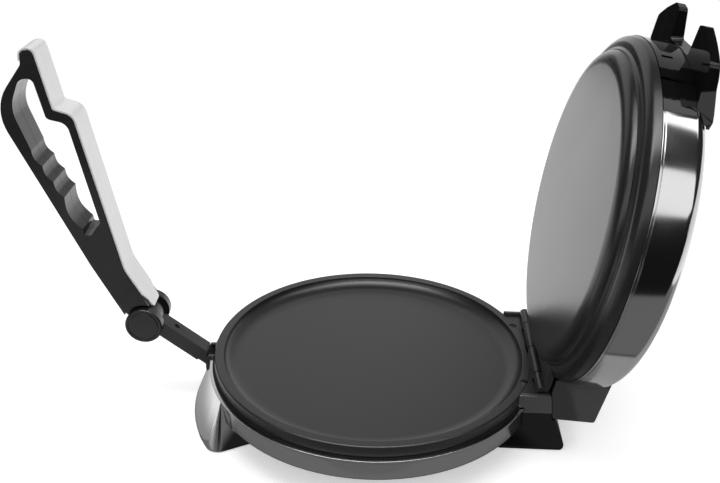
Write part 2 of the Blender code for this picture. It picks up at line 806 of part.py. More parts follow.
def make_bottom_cover():
    low = BODY_BOTTOM_Z + SHELL_WALL + SEAT_GAP
    profile = [(0.0, low + COVER_WALL), (FRAME_OUTER, low + COVER_WALL), (FRAME_OUTER, low), (0.0, low)]
    cover = turned("base_bottom_cover", profile, moulded_black)
    for i in range(VENT_COUNT):
        turn = 2 * math.pi * i / VENT_COUNT
        vent = block(
            f"vent_{i}",
            (VENT_OUTER - VENT_LENGTH, -VENT_WIDTH / 2, low - CUT_OVERRUN),
            (VENT_OUTER, VENT_WIDTH / 2, low + CUT_OVERRUN),
            None,
            turn=(0.0, 0.0, turn),
        )
        cut(cover, vent)
    return cover


def foot_section(outer, inner, outer_half, inner_half, corner, height):
    """A flat section of the front foot: an arc at the front, an arc at the back and two slanted ends."""
    steps = round(FOOT_TOP_HALF / math.pi * RING_STEPS)
    front = arc(outer, math.pi - outer_half, math.pi + outer_half, steps)
    rear = arc(inner, math.pi + inner_half, math.pi - inner_half, steps)
    corners = [(x, y, 0.0) for x, y in front + rear]
    corners[0] = (*front[0], corner)
    corners[steps] = (*front[-1], corner)
    return [(x, y, height) for x, y in rounded(corners)]


def make_front_foot():
    top = BODY_TOP_Z - ROLL_HEIGHT - SEAT_GAP
    sections = [
        foot_section(
            BODY_RADIUS + FOOT_FLARE, BODY_RADIUS - FOOT_TUCK, FOOT_BOTTOM_HALF, FOOT_BOTTOM_INNER_HALF,
            FOOT_CORNER_ROUND, FOOT_BOTTOM_Z,
        ),
        foot_section(
            BODY_RADIUS + SEAT_GAP + FOOT_TOP_WALL, BODY_RADIUS - SHELL_WALL, FOOT_TOP_HALF, FOOT_TOP_INNER_HALF,
            FOOT_TOP_ROUND, top,
        ),
    ]
    foot = loft("front_foot", sections, polished_steel)
    cut(foot, base_clearance, arm_notch)
    reach = BODY_RADIUS + (FOOT_FLARE - FOOT_TUCK) / 2
    across, spread = -reach * math.cos(FRONT_PAD_ANGLE), reach * math.sin(FRONT_PAD_ANGLE)
    for name, side in (("near", -1.0), ("far", 1.0)):
        add_pad(foot, f"front_pad_{name}", across, side * spread)
    return foot


def add_pad(foot, name, across, spread):
    """A rubber pad in a round seat in a foot's underside."""
    seat = rod(
        f"{name}_seat", PAD_RADIUS + SEAT_GAP, FOOT_BOTTOM_Z - CUT_OVERRUN, FLOOR_Z + PAD_HEIGHT + SEAT_GAP,
        None, across=across, height=spread, steps=SMALL_STEPS, along="Z",
    )
    cut(foot, seat)
    profile = [
        (0.0, PAD_HEIGHT),
        (PAD_RADIUS, PAD_HEIGHT),
        (PAD_RADIUS, PAD_EDGE),
        (PAD_RADIUS - PAD_EDGE, 0.0),
        (0.0, 0.0),
    ]
    turned(name, profile, pad_rubber, steps=SMALL_STEPS, place=(across, spread, FLOOR_Z))


def make_rear_foot():
    top = RIM_Z - (HOUSING_HEIGHT - HOUSING_RISE) - SEAT_GAP
    shelf_z = RIM_Z - REAR_FOOT_SHELF_DROP
    shelf_x = BODY_RADIUS + REAR_FOOT_SHELF
    heel = BODY_RADIUS + REAR_FOOT_HEEL
    tuck = BODY_RADIUS - REAR_FOOT_TUCK
    corners = [
        (BODY_RADIUS - FOOT_TUCK, top, 0.0),
        (stop_line(top) - STOP_GAP, top, 0.0),
        (stop_line(shelf_z) - STOP_GAP, shelf_z, 0.0),
        (shelf_x, shelf_z, REAR_FOOT_EDGE),
        (heel, FOOT_BOTTOM_Z + REAR_FOOT_ROUND, REAR_FOOT_ROUND),
        (heel - REAR_FOOT_EDGE, FOOT_BOTTOM_Z, REAR_FOOT_ROUND),
        (tuck + REAR_FOOT_FRONT_RUN, FOOT_BOTTOM_Z, 0.0),
        (tuck, FOOT_BOTTOM_Z + (BODY_BOTTOM_Z - FOOT_BOTTOM_Z) / 2, 0.0),
        (tuck, BODY_BOTTOM_Z - SEAT_GAP, 0.0),
    ]
    foot = slab("rear_foot", [rounded(corners)], -REAR_HALF, REAR_HALF, moulded_black)
    soften(foot, REAR_FOOT_EDGE)
    cut(foot, base_clearance)
    across = BODY_RADIUS + (REAR_FOOT_HEEL - REAR_FOOT_TUCK) / 2
    for name, side in (("near", -1.0), ("far", 1.0)):
        add_pad(foot, f"rear_pad_{name}", across, side * (REAR_HALF - REAR_PAD_INSET))
    add_inlet(foot, (shelf_x, shelf_z), (heel, FOOT_BOTTOM_Z + REAR_FOOT_ROUND))
    return foot


def add_inlet(foot, upper, lower):
    """The cord's bushed inlet, square to the rear foot's sloping back."""
    slope = Vector(lower) - Vector(upper)
    middle = Vector(upper) + slope * INLET_HEIGHT_SHARE
    tilt = math.atan2(slope.y, slope.x)
    turn = (0.0, -tilt, 0.0)
    place = (middle.x, 0.0, middle.y)
    hole = turned(
        "inlet_hole",
        [
            (0.0, CUT_OVERRUN),
            (INLET_RADIUS + SEAT_GAP, CUT_OVERRUN),
            (INLET_RADIUS + SEAT_GAP, -INLET_DEPTH - SEAT_GAP),
            (0.0, -INLET_DEPTH - SEAT_GAP),
        ],
        None, steps=SMALL_STEPS, place=place, turn=turn,
    )
    cut(foot, hole)
    profile = [
        (INLET_BORE, INLET_PROUD),
        (INLET_COLLAR - PAD_EDGE, INLET_PROUD),
        (INLET_COLLAR, INLET_PROUD - PAD_EDGE),
        (INLET_COLLAR, SEAT_GAP),
        (INLET_RADIUS, SEAT_GAP),
        (INLET_RADIUS, -INLET_DEPTH),
        (INLET_BORE, -INLET_DEPTH),
    ]
    turned("cord_grommet", profile, pad_rubber, steps=SMALL_STEPS, closed=True, place=place, turn=turn)


def opened(across, height):
    """Where a point of the closed lid lies when the lid stands open, both from the origin."""
    reach, rise = across - HINGE_X, height - HINGE_RISE
    return (
        HINGE_X + reach * math.cos(LID_OPEN) + rise * math.sin(LID_OPEN),
        HINGE_Z - reach * math.sin(LID_OPEN) + rise * math.cos(LID_OPEN),
    )


def stop_line(height):
    """How far back the open lid's box lies at a height, which is where the lid comes to rest."""
    lead = HINGE_X - REAR_COVER_LEAD
    upper = opened(lead, REAR_COVER_LOW)
    lower = opened(lead + REAR_COVER_STOP_RUN, REAR_COVER_LOW + REAR_COVER_STOP_RISE)
    share = (height - upper[1]) / (lower[1] - upper[1])
    return upper[0] + (lower[0] - upper[0]) * share


def make_rear_housing():
    top = RIM_Z + HOUSING_RISE
    bottom = top - HOUSING_HEIGHT
    front = BODY_RADIUS - HOUSING_WRAP
    outline = [
        (front, top),
        (stop_line(top) - STOP_GAP, top),
        (stop_line(bottom) - STOP_GAP, bottom),
        (front, bottom),
    ]
    inside = HINGE_HALF + SEAT_GAP * 2
    half = inside + HOUSING_WALL
    housing = slab("rear_housing", [outline], -half, half, moulded_black)
    soften(housing, MOULD_EDGE)
    step = HINGE_X + BARREL_RADIUS + SEAT_GAP * 2
    pocket = [
        (front - CUT_OVERRUN, RIM_Z - HOUSING_POCKET),
        (step, RIM_Z - HOUSING_POCKET),
        (step, RIM_Z + HOUSING_LEDGE_RISE),
        (step + CUT_OVERRUN * 2, RIM_Z + HOUSING_LEDGE_RISE),
        (step + CUT_OVERRUN * 2, top + CUT_OVERRUN),
        (front - CUT_OVERRUN, top + CUT_OVERRUN),
    ]
    cut(housing, slab("housing_pocket", [pocket], -inside, inside, None), base_clearance)
    return housing


def make_hinge_pin():
    reach = HINGE_HALF - KNUCKLE_GAP / 2
    return rod(
        "hinge_pin", PIN_RADIUS, -reach, reach, bright_steel, across=HINGE_X, height=HINGE_Z,
        steps=SMALL_STEPS // 2,
    )


def make_plate_screws():
    profile = [
        (0.0, 0.0),
        (SCREW_HEAD_RADIUS - SEAT_GAP, 0.0),
        (SCREW_HEAD_RADIUS, -SEAT_GAP),
        (SCREW_HEAD_RADIUS, SEAT_GAP - SCREW_HEAD_HEIGHT),
        (SCREW_SHANK_RADIUS, SEAT_GAP - SCREW_HEAD_HEIGHT),
        (SCREW_SHANK_RADIUS, -SCREW_LENGTH),
        (0.0, -SCREW_LENGTH),
    ]
    for name, side in (("near", -1.0), ("far", 1.0)):
        turned(
            f"plate_screw_{name}", profile, bright_steel, steps=SMALL_STEPS,
            place=(SCREW_X, side * SCREW_SPREAD, RIM_Z - TAIL_SINK),
        )


def make_arm_bracket():
    front = PIVOT_X - BRACKET_FRONT
    back = PIVOT_X + BRACKET_BACK
    top = PIVOT_Z + BRACKET_RISE
    bottom = PIVOT_Z - BRACKET_DROP
    lip = -PLATE_RADIUS - SEAT_GAP * 3
    corners = [
        (front, top, BRACKET_ROUND),
        (lip, top, 0.0),
        (lip, PIVOT_Z + BRACKET_REAR_RISE, 0.0),
        (back, PIVOT_Z + BRACKET_REAR_RISE, 0.0),
        (back, bottom, 0.0),
        (front, bottom, BRACKET_ROUND),
    ]
    bracket = slab("arm_bracket", [rounded(corners)], -BRACKET_HALF, BRACKET_HALF, moulded_black)
    rear = PIVOT_X + TANG_RADIUS + SEAT_GAP * 3
    slot = block(
        "arm_slot",
        (front - CUT_OVERRUN, -BRACKET_GAP, bottom + BRACKET_FLOOR),
        (rear, BRACKET_GAP, top + CUT_OVERRUN),
        None,
    )
    bore = rod(
        "pivot_bore", PIVOT_PIN_RADIUS + SEAT_GAP, -BRACKET_HALF - CUT_OVERRUN, BRACKET_HALF + CUT_OVERRUN,
        None, across=PIVOT_X, height=PIVOT_Z,
    )
    cut(bracket, slot, bore)
    rod("arm_pivot_pin", PIVOT_PIN_RADIUS, -BRACKET_HALF, BRACKET_HALF, bright_steel, across=PIVOT_X, height=PIVOT_Z)
    return bracket


# Lid, in its own frame: the origin is the lid's centre at the height of the closed rim

def dome_points(gap=0.0):
    """The dome's outline from the middle down to its straight wall."""
    points = [(BODY_RADIUS * r + (gap if r else 0.0), SHELL_HIGH + DOME_RISE * h + gap) for r, h in DOME_SHARES]
    return points + [(BODY_RADIUS + gap, SHELL_HIGH + gap)]


def make_shell_room():
    """The room that the shell takes from what sits on it."""
    return turned("shell_room", dome_points(SEAT_GAP) + [(BODY_RADIUS + SEAT_GAP, 0.0), (0.0, 0.0)], None, lid)


def make_upper_plate():
    flange = [
        (FLANGE_START, FLANGE_LOW),
        (FLANGE_START + (FLANGE_RADIUS - FLANGE_START) * 0.5, FLANGE_LOW + (FLANGE_HIGH - FLANGE_LOW) * 0.14),
        (FLANGE_START + (FLANGE_RADIUS - FLANGE_START) * 0.86, FLANGE_LOW + (FLANGE_HIGH - FLANGE_LOW) * 0.48),
        (FLANGE_RADIUS, FLANGE_HIGH),
    ]
    depth = STEP_HEIGHT + DISC_DROP
    run = DISC_SHOULDER - DISC_FLAT
    shoulder = [
        (DISC_FLAT + run * math.sin(a), depth * (1.0 - math.cos(a)) - DISC_DROP)
        for a in (math.radians(90.0) * i / DISH_WALL_STEPS for i in range(DISH_WALL_STEPS + 1))
    ]
    profile = [
        (0.0, PLATE_WALL - DISC_DROP),
        (DISC_FLAT - PLATE_WALL, PLATE_WALL - DISC_DROP),
        (DISC_SHOULDER - PLATE_WALL, STEP_HEIGHT + PLATE_WALL),
        (FLANGE_START + (FLANGE_RADIUS - FLANGE_START) * 0.45, FLANGE_LOW + PLATE_WALL * 1.4),
        (FLANGE_RADIUS - PLATE_WALL, FLANGE_HIGH),
    ]
    profile += flange[::-1] + shoulder[::-1] + [(0.0, -DISC_DROP)]
    plate = turned("upper_cooking_plate", profile, cast_black, lid)
    join(plate, make_tail("upper_tail", LID_TAIL_LOW, LID_TAIL_LOW + LID_TAIL_WALL, lid))
    low = LID_TAIL_LOW + TAIL_SINK - HINGE_RISE
    top = LID_TAIL_LOW + LID_TAIL_WALL - TAIL_SINK - HINGE_RISE
    start = TAIL_X - PLATE_WALL - HINGE_X
    barrel = arc(BARREL_RADIUS, math.radians(6.0), math.radians(-186.0), SMALL_STEPS)
    outline = [(start, low), (start, top), (BARREL_RADIUS * 0.2, top)] + barrel + [(-BARREL_RADIUS, low)]
    add_knuckles(plate, "upper", LID_KNUCKLES, outline, HINGE_RISE, lid)
    low = PLATE_WALL / 2 - DISC_DROP
    add_bosses(plate, "upper", low, low + PLATE_WALL / 2 + BOSS_LENGTH, lid)
    return plate


def make_lid_frame():
    outer = HORN_INNER - SEAT_GAP
    low = FLANGE_HIGH + SEAT_GAP
    profile = [
        (outer - LID_FRAME_WIDTH, low + LID_FRAME_HEIGHT),
        (outer, low + LID_FRAME_HEIGHT),
        (outer, low),
        (outer - LID_FRAME_WIDTH, low),
    ]
    return turned("lid_inner_frame", profile, moulded_black, lid, closed=True)


def sector(inner, outer, half):
    """The front part of a flat ring, with as many steps as the round pieces beside it."""
    steps = round(half / math.pi * RING_STEPS)
    return arc(outer, math.pi - half, math.pi + half, steps) + arc(inner, math.pi + half, math.pi - half, steps)


def make_lid_shell():
    dome = dome_points()
    inside = [(max(r - SHELL_WALL, 0.0) if r else 0.0, h - SHELL_WALL) for r, h in dome]
    profile = dome + [(BODY_RADIUS, SHELL_LOW), (BODY_RADIUS - SHELL_WALL, SHELL_LOW)] + inside[::-1]
    shell = turned("lid_shell", profile, polished_steel, lid)
    opening = slab(
        "shell_opening", [sector(HORN_INNER - CUT_OVERRUN, BODY_RADIUS + CUT_OVERRUN, HORN_SECTOR)],
        SHELL_LOW - CUT_OVERRUN, SHELL_HIGH + HORN_OPENING, None, lid, upright=False,
    )
    cut(shell, opening)
    return shell


def horn_section(upper, height):
    """The crown's outline on its lower or upper face, round both horns and back along its seat."""
    half = []
    for low_ahead, low_side, high_ahead, high_side, radius in HORN_CORNER_SHARES:
        ahead, side = (high_ahead, high_side) if upper else (low_ahead, low_side)
        half.append((-BODY_RADIUS - ahead * HORN_REACH, side * HORN_SPREAD, radius * HORN_REACH))
    corners = [(x, y, radius) for x, y, radius in half[::-1]] + [(x, -y, radius) for x, y, radius in half]
    span = HORN_SECTOR + HORN_SEAT_OVERLAP
    seat = arc(BODY_RADIUS - HORN_SEAT_WIDTH, math.pi + span, math.pi - span, SMALL_STEPS // 2)
    corners += [(x, y, 0.0) for x, y in seat]
    return [(x, y, height) for x, y in rounded(corners)]


def make_press_bracket():
    top = SHELL_HIGH + HORN_BASE_HEIGHT
    drop = HORN_BASE_HEIGHT - HORN_TIP_HEIGHT
    sections = [horn_section(False, SHELL_HIGH), horn_section(True, top + drop)]
    crown = loft("lid_press_bracket", sections, gloss_black, lid)
    inner, outer = BODY_RADIUS - HORN_REACH, BODY_RADIUS + HORN_REACH * 2
    slope = [(inner, top + drop * 2), (outer, top + drop * 2), (outer, top - drop * 2), (inner, top + drop)]
    cut(crown, turned("crown_top", slope, None, lid, closed=True), shell_room)
    half = HORN_SECTOR - math.asin(SEAT_GAP / BODY_RADIUS)
    root_low = SHELL_HIGH + HORN_OPENING / 3
    root = slab(
        "horn_root", [sector(HORN_INNER, BODY_RADIUS + SEAT_GAP * 3, half)],
        root_low, SHELL_HIGH + HORN_OPENING - SEAT_GAP, None, lid, upright=False,
    )
    wall = slab(
        "horn_wall", [sector(HORN_INNER, BODY_RADIUS, half)], SHELL_LOW, root_low + HORN_OPENING / 5, None, lid,
        upright=False,
    )
    slot_low = SHELL_LOW + SLOT_HEIGHT / 2
    slot = block(
        "horn_slot",
        (-BODY_RADIUS - CUT_OVERRUN, -SLOT_OFFSET - SLOT_WIDTH / 2, slot_low),
        (-HORN_INNER + CUT_OVERRUN * 2, -SLOT_OFFSET + SLOT_WIDTH / 2, slot_low + SLOT_HEIGHT),
        None, lid,
    )
    join(wall, root)
    cut(wall, slot)
    join(crown, wall)
    return crown


def make_rear_cover():
    lead = HINGE_X - REAR_COVER_LEAD
    corners = [
        (BODY_RADIUS - REAR_COVER_FRONT, REAR_COVER_FRONT_LOW, 0.0),
        (lead, REAR_COVER_LOW, 0.0),
        (lead + REAR_COVER_STOP_RUN, REAR_COVER_LOW + REAR_COVER_STOP_RISE, 0.0),
        (BODY_RADIUS + REAR_COVER_REACH, REAR_COVER_LOW + REAR_COVER_STOP_RISE + REAR_COVER_CHIN, 0.0),
        (BODY_RADIUS + REAR_COVER_TOP_REACH, REAR_COVER_TOP, REAR_COVER_ROUND),
        (BODY_RADIUS - REAR_COVER_FRONT, REAR_COVER_FRONT_TOP, 0.0),
    ]
    cover = slab(
        "lid_rear_cover", [rounded(corners)], -REAR_HALF, REAR_HALF, gloss_black, lid
    )
    soften(cover, MOULD_EDGE)
    cut(cover, shell_room)
    return cover


# Press arm, in its own frame: the origin is its pivot, and -X runs up along it to the knuckle

def make_press_arm():
    neck = math.asin(ARM_HALF_DEPTH / ARM_EYE_RADIUS)
    eye = arc(ARM_EYE_RADIUS, neck, 2 * math.pi - neck, SMALL_STEPS, (-ARM_LENGTH, 0.0))
    tang = arc(TANG_RADIUS, -math.radians(90.0), math.radians(90.0), SMALL_STEPS // 2)
    outline = eye
    outline += [
        (-TANG_STEP, -ARM_HALF_DEPTH),
        (-TANG_STEP, -TANG_RADIUS),
    ]
    outline += tang + [(-TANG_LENGTH, TANG_RADIUS), (-TANG_LENGTH, ARM_HALF_DEPTH)]
    arm = slab("press_arm", [outline], -ARM_HALF_WIDTH, ARM_HALF_WIDTH, moulded_black, arm_axis)
    soften(arm, ARM_EDGE)
    reach = ARM_HALF_WIDTH + CUT_OVERRUN
    cut(
        arm,
        rod("arm_eye_bore", KNUCKLE_PIN_RADIUS + SEAT_GAP, -reach, reach, None, arm_axis, across=-ARM_LENGTH),
        rod("arm_pivot_bore", PIVOT_PIN_RADIUS + SEAT_GAP, -reach, reach, None, arm_axis),
        rod(
            "arm_screw_hole", ARM_SCREW_RADIUS + SEAT_GAP, ARM_HALF_DEPTH - ARM_SCREW_DEPTH, reach, None, arm_axis,
            across=ARM_SCREW_OFFSET - ARM_LENGTH, along="Z", steps=SMALL_STEPS,
        ),
    )
    rod(
        "arm_screw", ARM_SCREW_RADIUS, ARM_HALF_DEPTH - ARM_SCREW_DEPTH + SEAT_GAP, ARM_HALF_DEPTH - ARM_EDGE,
        bright_steel, arm_axis, across=ARM_SCREW_OFFSET - ARM_LENGTH, along="Z",
    )
    return arm


def make_knuckle():
    pin_reach = CAP_NEAR + CAP_POCKET - SEAT_GAP
    rod("knuckle_pin", KNUCKLE_PIN_RADIUS, -pin_reach, pin_reach, bright_steel, arm_axis, across=-ARM_LENGTH)
    bore = KNUCKLE_PIN_RADIUS + SEAT_GAP
    groove = CAP_GROOVE_RADIUS - CAP_GROOVE_WIDTH
    profile = [
        (0.0, CAP_FAR),
        (groove, CAP_FAR),
        (groove, CAP_FAR - CAP_GROOVE_DEPTH),
        (CAP_GROOVE_RADIUS, CAP_FAR - CAP_GROOVE_DEPTH),
        (CAP_GROOVE_RADIUS, CAP_FAR),
        (CAP_RADIUS - CAP_EDGE, CAP_FAR),
        (CAP_RADIUS, CAP_FAR - CAP_EDGE),
        (CAP_RADIUS, CAP_NEAR),
        (bore, CAP_NEAR),
        (bore, CAP_NEAR + CAP_POCKET),
        (0.0, CAP_NEAR + CAP_POCKET),
    ]
    for name, side in (("near", 1.0), ("far", -1.0)):
        turned(
            f"knuckle_cap_{name}", profile, moulded_black, arm_axis, steps=CAP_STEPS,
            place=(-ARM_LENGTH, 0.0, 0.0), turn=(side * math.radians(90.0), 0.0, 0.0),
        )


# Grip, in its own frame: the origin is the knuckle, +X runs to the tip and +Z away from the lid

def face_corners():
    along, across = FACE_START_SHARES
    corners = [(along * LUG_RADIUS, across * LUG_RADIUS, 0.0)]
    return corners + shares_to_corners(FACE_SHARES, HANDLE_LENGTH, HANDLE_DEPTH)


def cheek_outline():
    along, across = BACK_START_SHARES
    corners = face_corners() + shares_to_corners(BACK_SHARES, HANDLE_LENGTH, HANDLE_DEPTH)
    return rounded(corners + [(along * LUG_RADIUS, across * LUG_RADIUS, 0.0)])


def scallop(start, end, depth):
    """One finger groove between two crests, without its end point."""
    start, end = Vector(start), Vector(end)
    way = end - start
    out = Vector((way.y, -way.x)).normalized()
    if out.y < 0.0:
        out = -out
    return [
        tuple(start + way * i / FINGER_STEPS + out * depth * math.sin(math.pi * i / FINGER_STEPS))
        for i in range(FINGER_STEPS)
    ]


def hole_outline():
    far = Vector((FINGER_FAR_SHARES[0] * HANDLE_LENGTH, FINGER_FAR_SHARES[1] * HANDLE_DEPTH))
    near = Vector((FINGER_NEAR_SHARES[0] * HANDLE_LENGTH, FINGER_NEAR_SHARES[1] * HANDLE_DEPTH))
    last = (FINGER_LAST_SHARES[0] * HANDLE_LENGTH, FINGER_LAST_SHARES[1] * HANDLE_DEPTH)
    grooves = []
    for i in range(FINGER_COUNT):
        start = far.lerp(near, i / FINGER_COUNT)
        grooves += scallop(start, far.lerp(near, (i + 1) / FINGER_COUNT), FINGER_DEPTH)
    grooves += scallop(near, last, FINGER_LAST_DEPTH)
    corners = [(x, z, 0.0) for x, z in grooves] + [(*last, 0.0)]
    corners += shares_to_corners(HOLE_SHARES, HANDLE_LENGTH, HANDLE_DEPTH)
    return rounded(corners)


def make_cheek(name, side):
    """One half of the grip; side is -1 for the near half and 1 for the far half."""
    parting = SEAT_GAP / 2

    def span(start, end):
        return (start, end) if side > 0.0 else (-end, -start)

    cheek = slab(
        f"handle_{name}_cheek", [cheek_outline(), hole_outline()], *span(parting, HANDLE_HALF_WIDTH),
        moulded_black, handle_axis,
    )
    wide = HANDLE_HALF_WIDTH + CUT_OVERRUN
    inner = [rod("pocket", EYE_POCKET_RADIUS, *span(-CUT_OVERRUN, LUG_NEAR), None, handle_axis, steps=CAP_STEPS)]
    outer = [
        rod(
            "recess", CAP_RADIUS + CAP_RECESS_GAP, *span(CAP_NEAR - SEAT_GAP, wide), None, handle_axis,
            steps=CAP_STEPS,
        )
    ]
    screw_end = HANDLE_SCREW_SEAT + SEAT_GAP if side > 0.0 else CUT_OVERRUN
    for along, out in HANDLE_SCREW_SHARES:
        where = {"across": along * HANDLE_LENGTH, "height": out * HANDLE_DEPTH, "steps": 8}
        low = -HANDLE_SCREW_REACH - SEAT_GAP
        inner.append(rod("hole", HANDLE_SCREW_SHANK + SEAT_GAP, low, screw_end, None, handle_axis, **where))
        if side > 0.0:
            seat = rod("seat", HANDLE_SCREW_HEAD + SEAT_GAP, HANDLE_SCREW_SEAT, wide, None, handle_axis, **where)
            outer.append(seat)
    cut(cheek, gathered(f"{name}_inner_cuts", *inner), gathered(f"{name}_outer_cuts", *outer))
    inset = SEAT_GAP / 2
    lug = [
        arc(LUG_RADIUS, 0.0, 2 * math.pi, CAP_STEPS)[:-1],
        arc(KNUCKLE_PIN_RADIUS + SEAT_GAP, 0.0, 2 * math.pi, SMALL_STEPS)[:-1],
    ]
    join(cheek, slab(f"{name}_lug", lug, *span(LUG_NEAR + inset, LUG_FAR - inset), None, handle_axis))
    return cheek


def make_handle_screws():
    head = HANDLE_SCREW_SEAT + SEAT_GAP
    profile = [
        (0.0, head + HANDLE_SCREW_HEIGHT),
        (HANDLE_SCREW_HEAD - SEAT_GAP, head + HANDLE_SCREW_HEIGHT),
        (HANDLE_SCREW_HEAD, head + HANDLE_SCREW_HEIGHT - SEAT_GAP * 2),
        (HANDLE_SCREW_HEAD, head),
        (HANDLE_SCREW_SHANK, head),
        (HANDLE_SCREW_SHANK, -HANDLE_SCREW_REACH),
        (0.0, -HANDLE_SCREW_REACH),
    ]
    for i, (along, out) in enumerate(HANDLE_SCREW_SHARES):
        turned(
            f"handle_screw_{i + 1}", profile, bright_steel, handle_axis, steps=12,
            place=(along * HANDLE_LENGTH, 0.0, out * HANDLE_DEPTH), turn=(-math.radians(90.0), 0.0, 0.0),
        )


def make_trim():
    face = face_corners()
    start, bend = Vector(face[0][:2]), Vector(face[1][:2])
    face[0] = (*(start - (bend - start).normalized() * TRIM_LEAD), 0.0)
    back = shares_to_corners(BACK_SHARES, HANDLE_LENGTH, HANDLE_DEPTH)
    face.append((*Vector(face[-1][:2]).lerp(Vector(back[0][:2]), TRIM_END_SHARE), 0.0))
    inner = rounded(offset_path(face, SEAT_GAP), closed=False)
    outer = rounded(offset_path(face, SEAT_GAP + TRIM_WALL), closed=False)
    half = HANDLE_HALF_WIDTH - TRIM_INSET
    trim = slab("handle_trim", [inner + outer[::-1]], -half, half, brushed_silver, handle_axis)
    for name, side in (("near", -1.0), ("far", 1.0)):
        corners = [
            (-CUT_OVERRUN, 0.0, 0.0),
            (TONGUE_TIP, 0.0, 0.0),
            (TONGUE_TIP, side * TONGUE_HALF, TONGUE_ROUND),
            (TONGUE_NECK, side * TONGUE_HALF, TONGUE_ROUND),
            (TONGUE_START, side * half, TONGUE_ROUND / 2),
            (TONGUE_START, side * (half + CUT_OVERRUN), 0.0),
            (-CUT_OVERRUN, side * (half + CUT_OVERRUN), 0.0),
        ]
        shaper = slab(
            f"tongue_cut_{name}", [rounded(corners)], -HANDLE_DEPTH, HANDLE_DEPTH / 2, None, handle_axis,
            upright=False,
        )
        cut(trim, shaper)
    return trim


for old in list(bpy.data.objects):
    bpy.data.objects.remove(old)

parts = new_collection("pancake_maker")
cutters = new_collection("cutters")

cast_black = new_finish("cast_black", (0.022, 0.022, 0.024), 0.55, 0.0)
moulded_black = new_finish("moulded_black", (0.018, 0.018, 0.019), 0.38, 0.0)
gloss_black = new_finish("gloss_black", (0.008, 0.008, 0.009), 0.12, 0.0)
polished_steel = new_finish("polished_steel", (0.62, 0.62, 0.63), 0.16, 1.0)
bright_steel = new_finish("bright_steel", (0.66, 0.66, 0.68), 0.30, 1.0)
dark_steel = new_finish("dark_steel", (0.20, 0.20, 0.21), 0.45, 1.0)
brushed_silver = new_finish("brushed_silver", (0.74, 0.74, 0.73), 0.34, 0.9)
pad_rubber = new_finish("pad_rubber", (0.03, 0.03, 0.03), 0.80, 0.0)

lid_axis = new_axis("lid_axis", (HINGE_X, 0.0, HINGE_Z), LID_OPEN)
lid = new_axis("lid", (-HINGE_X, 0.0, -HINGE_RISE), 0.0, lid_axis)
arm_axis = new_axis("arm_axis", (PIVOT_X, 0.0, PIVOT_Z), ARM_REST)
handle_axis = new_axis("handle_axis", (-ARM_LENGTH, 0.0, 0.0), -HANDLE_REST - ARM_REST, arm_axis)

base_clearance = make_base_clearance()
arm_notch = make_arm_notch()
shell_room = make_shell_room()

make_lower_plate()
make_base_ring()
make_inner_frame()
make_bottom_cover()
make_front_foot()
make_rear_foot()
make_rear_housing()
make_hinge_pin()
make_plate_screws()
make_arm_bracket()
lower_seat = -PLATE_WALL - SEAT_GAP
lower_shield = lower_seat - BOSS_LENGTH
make_element("lower_heating_element", lower_seat - ELEMENT_RADIUS, lower_seat - ELEMENT_LEG, None)
make_thermostat("lower_thermostat", lower_seat, -1.0, None)
make_shield("lower_heat_shield", lower_shield, -1.0, None)

make_upper_plate()
make_lid_frame()
make_lid_shell()
make_press_bracket()
make_rear_cover()
upper_seat = PLATE_WALL - DISC_DROP + SEAT_GAP
upper_shield = upper_seat + BOSS_LENGTH
make_element("upper_heating_element", upper_seat + ELEMENT_RADIUS, upper_seat + ELEMENT_LEG, lid)
make_thermostat("upper_thermostat", upper_seat, 1.0, lid)
make_shield("upper_heat_shield", upper_shield, 1.0, lid)

make_press_arm()
make_knuckle()

make_cheek("near", -1.0)
make_cheek("far", 1.0)
make_trim()
make_handle_screws()
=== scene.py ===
"""The finished look of a lever-press pancake maker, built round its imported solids. Metres, +Z up."""

import json
import math

import bmesh
import bpy
from mathutils import Matrix, Vector


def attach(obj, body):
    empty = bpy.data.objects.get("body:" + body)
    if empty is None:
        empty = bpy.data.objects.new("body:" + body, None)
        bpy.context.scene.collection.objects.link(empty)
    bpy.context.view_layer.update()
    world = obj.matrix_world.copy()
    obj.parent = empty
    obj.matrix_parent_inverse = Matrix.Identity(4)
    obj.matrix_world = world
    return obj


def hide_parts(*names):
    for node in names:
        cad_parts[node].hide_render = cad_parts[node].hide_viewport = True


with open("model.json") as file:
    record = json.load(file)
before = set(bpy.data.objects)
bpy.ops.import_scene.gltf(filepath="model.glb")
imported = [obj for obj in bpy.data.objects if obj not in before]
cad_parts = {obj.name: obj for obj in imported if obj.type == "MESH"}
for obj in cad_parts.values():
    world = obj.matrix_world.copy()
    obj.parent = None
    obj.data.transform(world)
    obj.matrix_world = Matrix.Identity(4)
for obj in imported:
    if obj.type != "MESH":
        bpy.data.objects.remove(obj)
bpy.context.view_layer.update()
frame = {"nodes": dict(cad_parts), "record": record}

# Gaps and fineness
GAP = 0.0003
OVER = 0.0060
RING = 240
MIDDLE = 72
SMALL = 36
CORNER = 8

# Lower plate and base
PLATE_R = 0.1400
RIM_Z = 0.0090
LIP_Z = -0.0006
DISH_R = 0.1318
DISH_FLOOR_R = 0.1165
PLATE_WALL = 0.0030
LIP_WALL = 0.0024
BODY_R = 0.1427
BODY_TOP = -0.0015
BODY_BOTTOM = -0.0210
BEAD = 0.00179
BEAD_HEIGHT = 0.00252
SHEET = 0.0009
BODY_FLANGE = 0.0070
FLOOR_Z = -0.0460
FOOT_BOTTOM = -0.0450

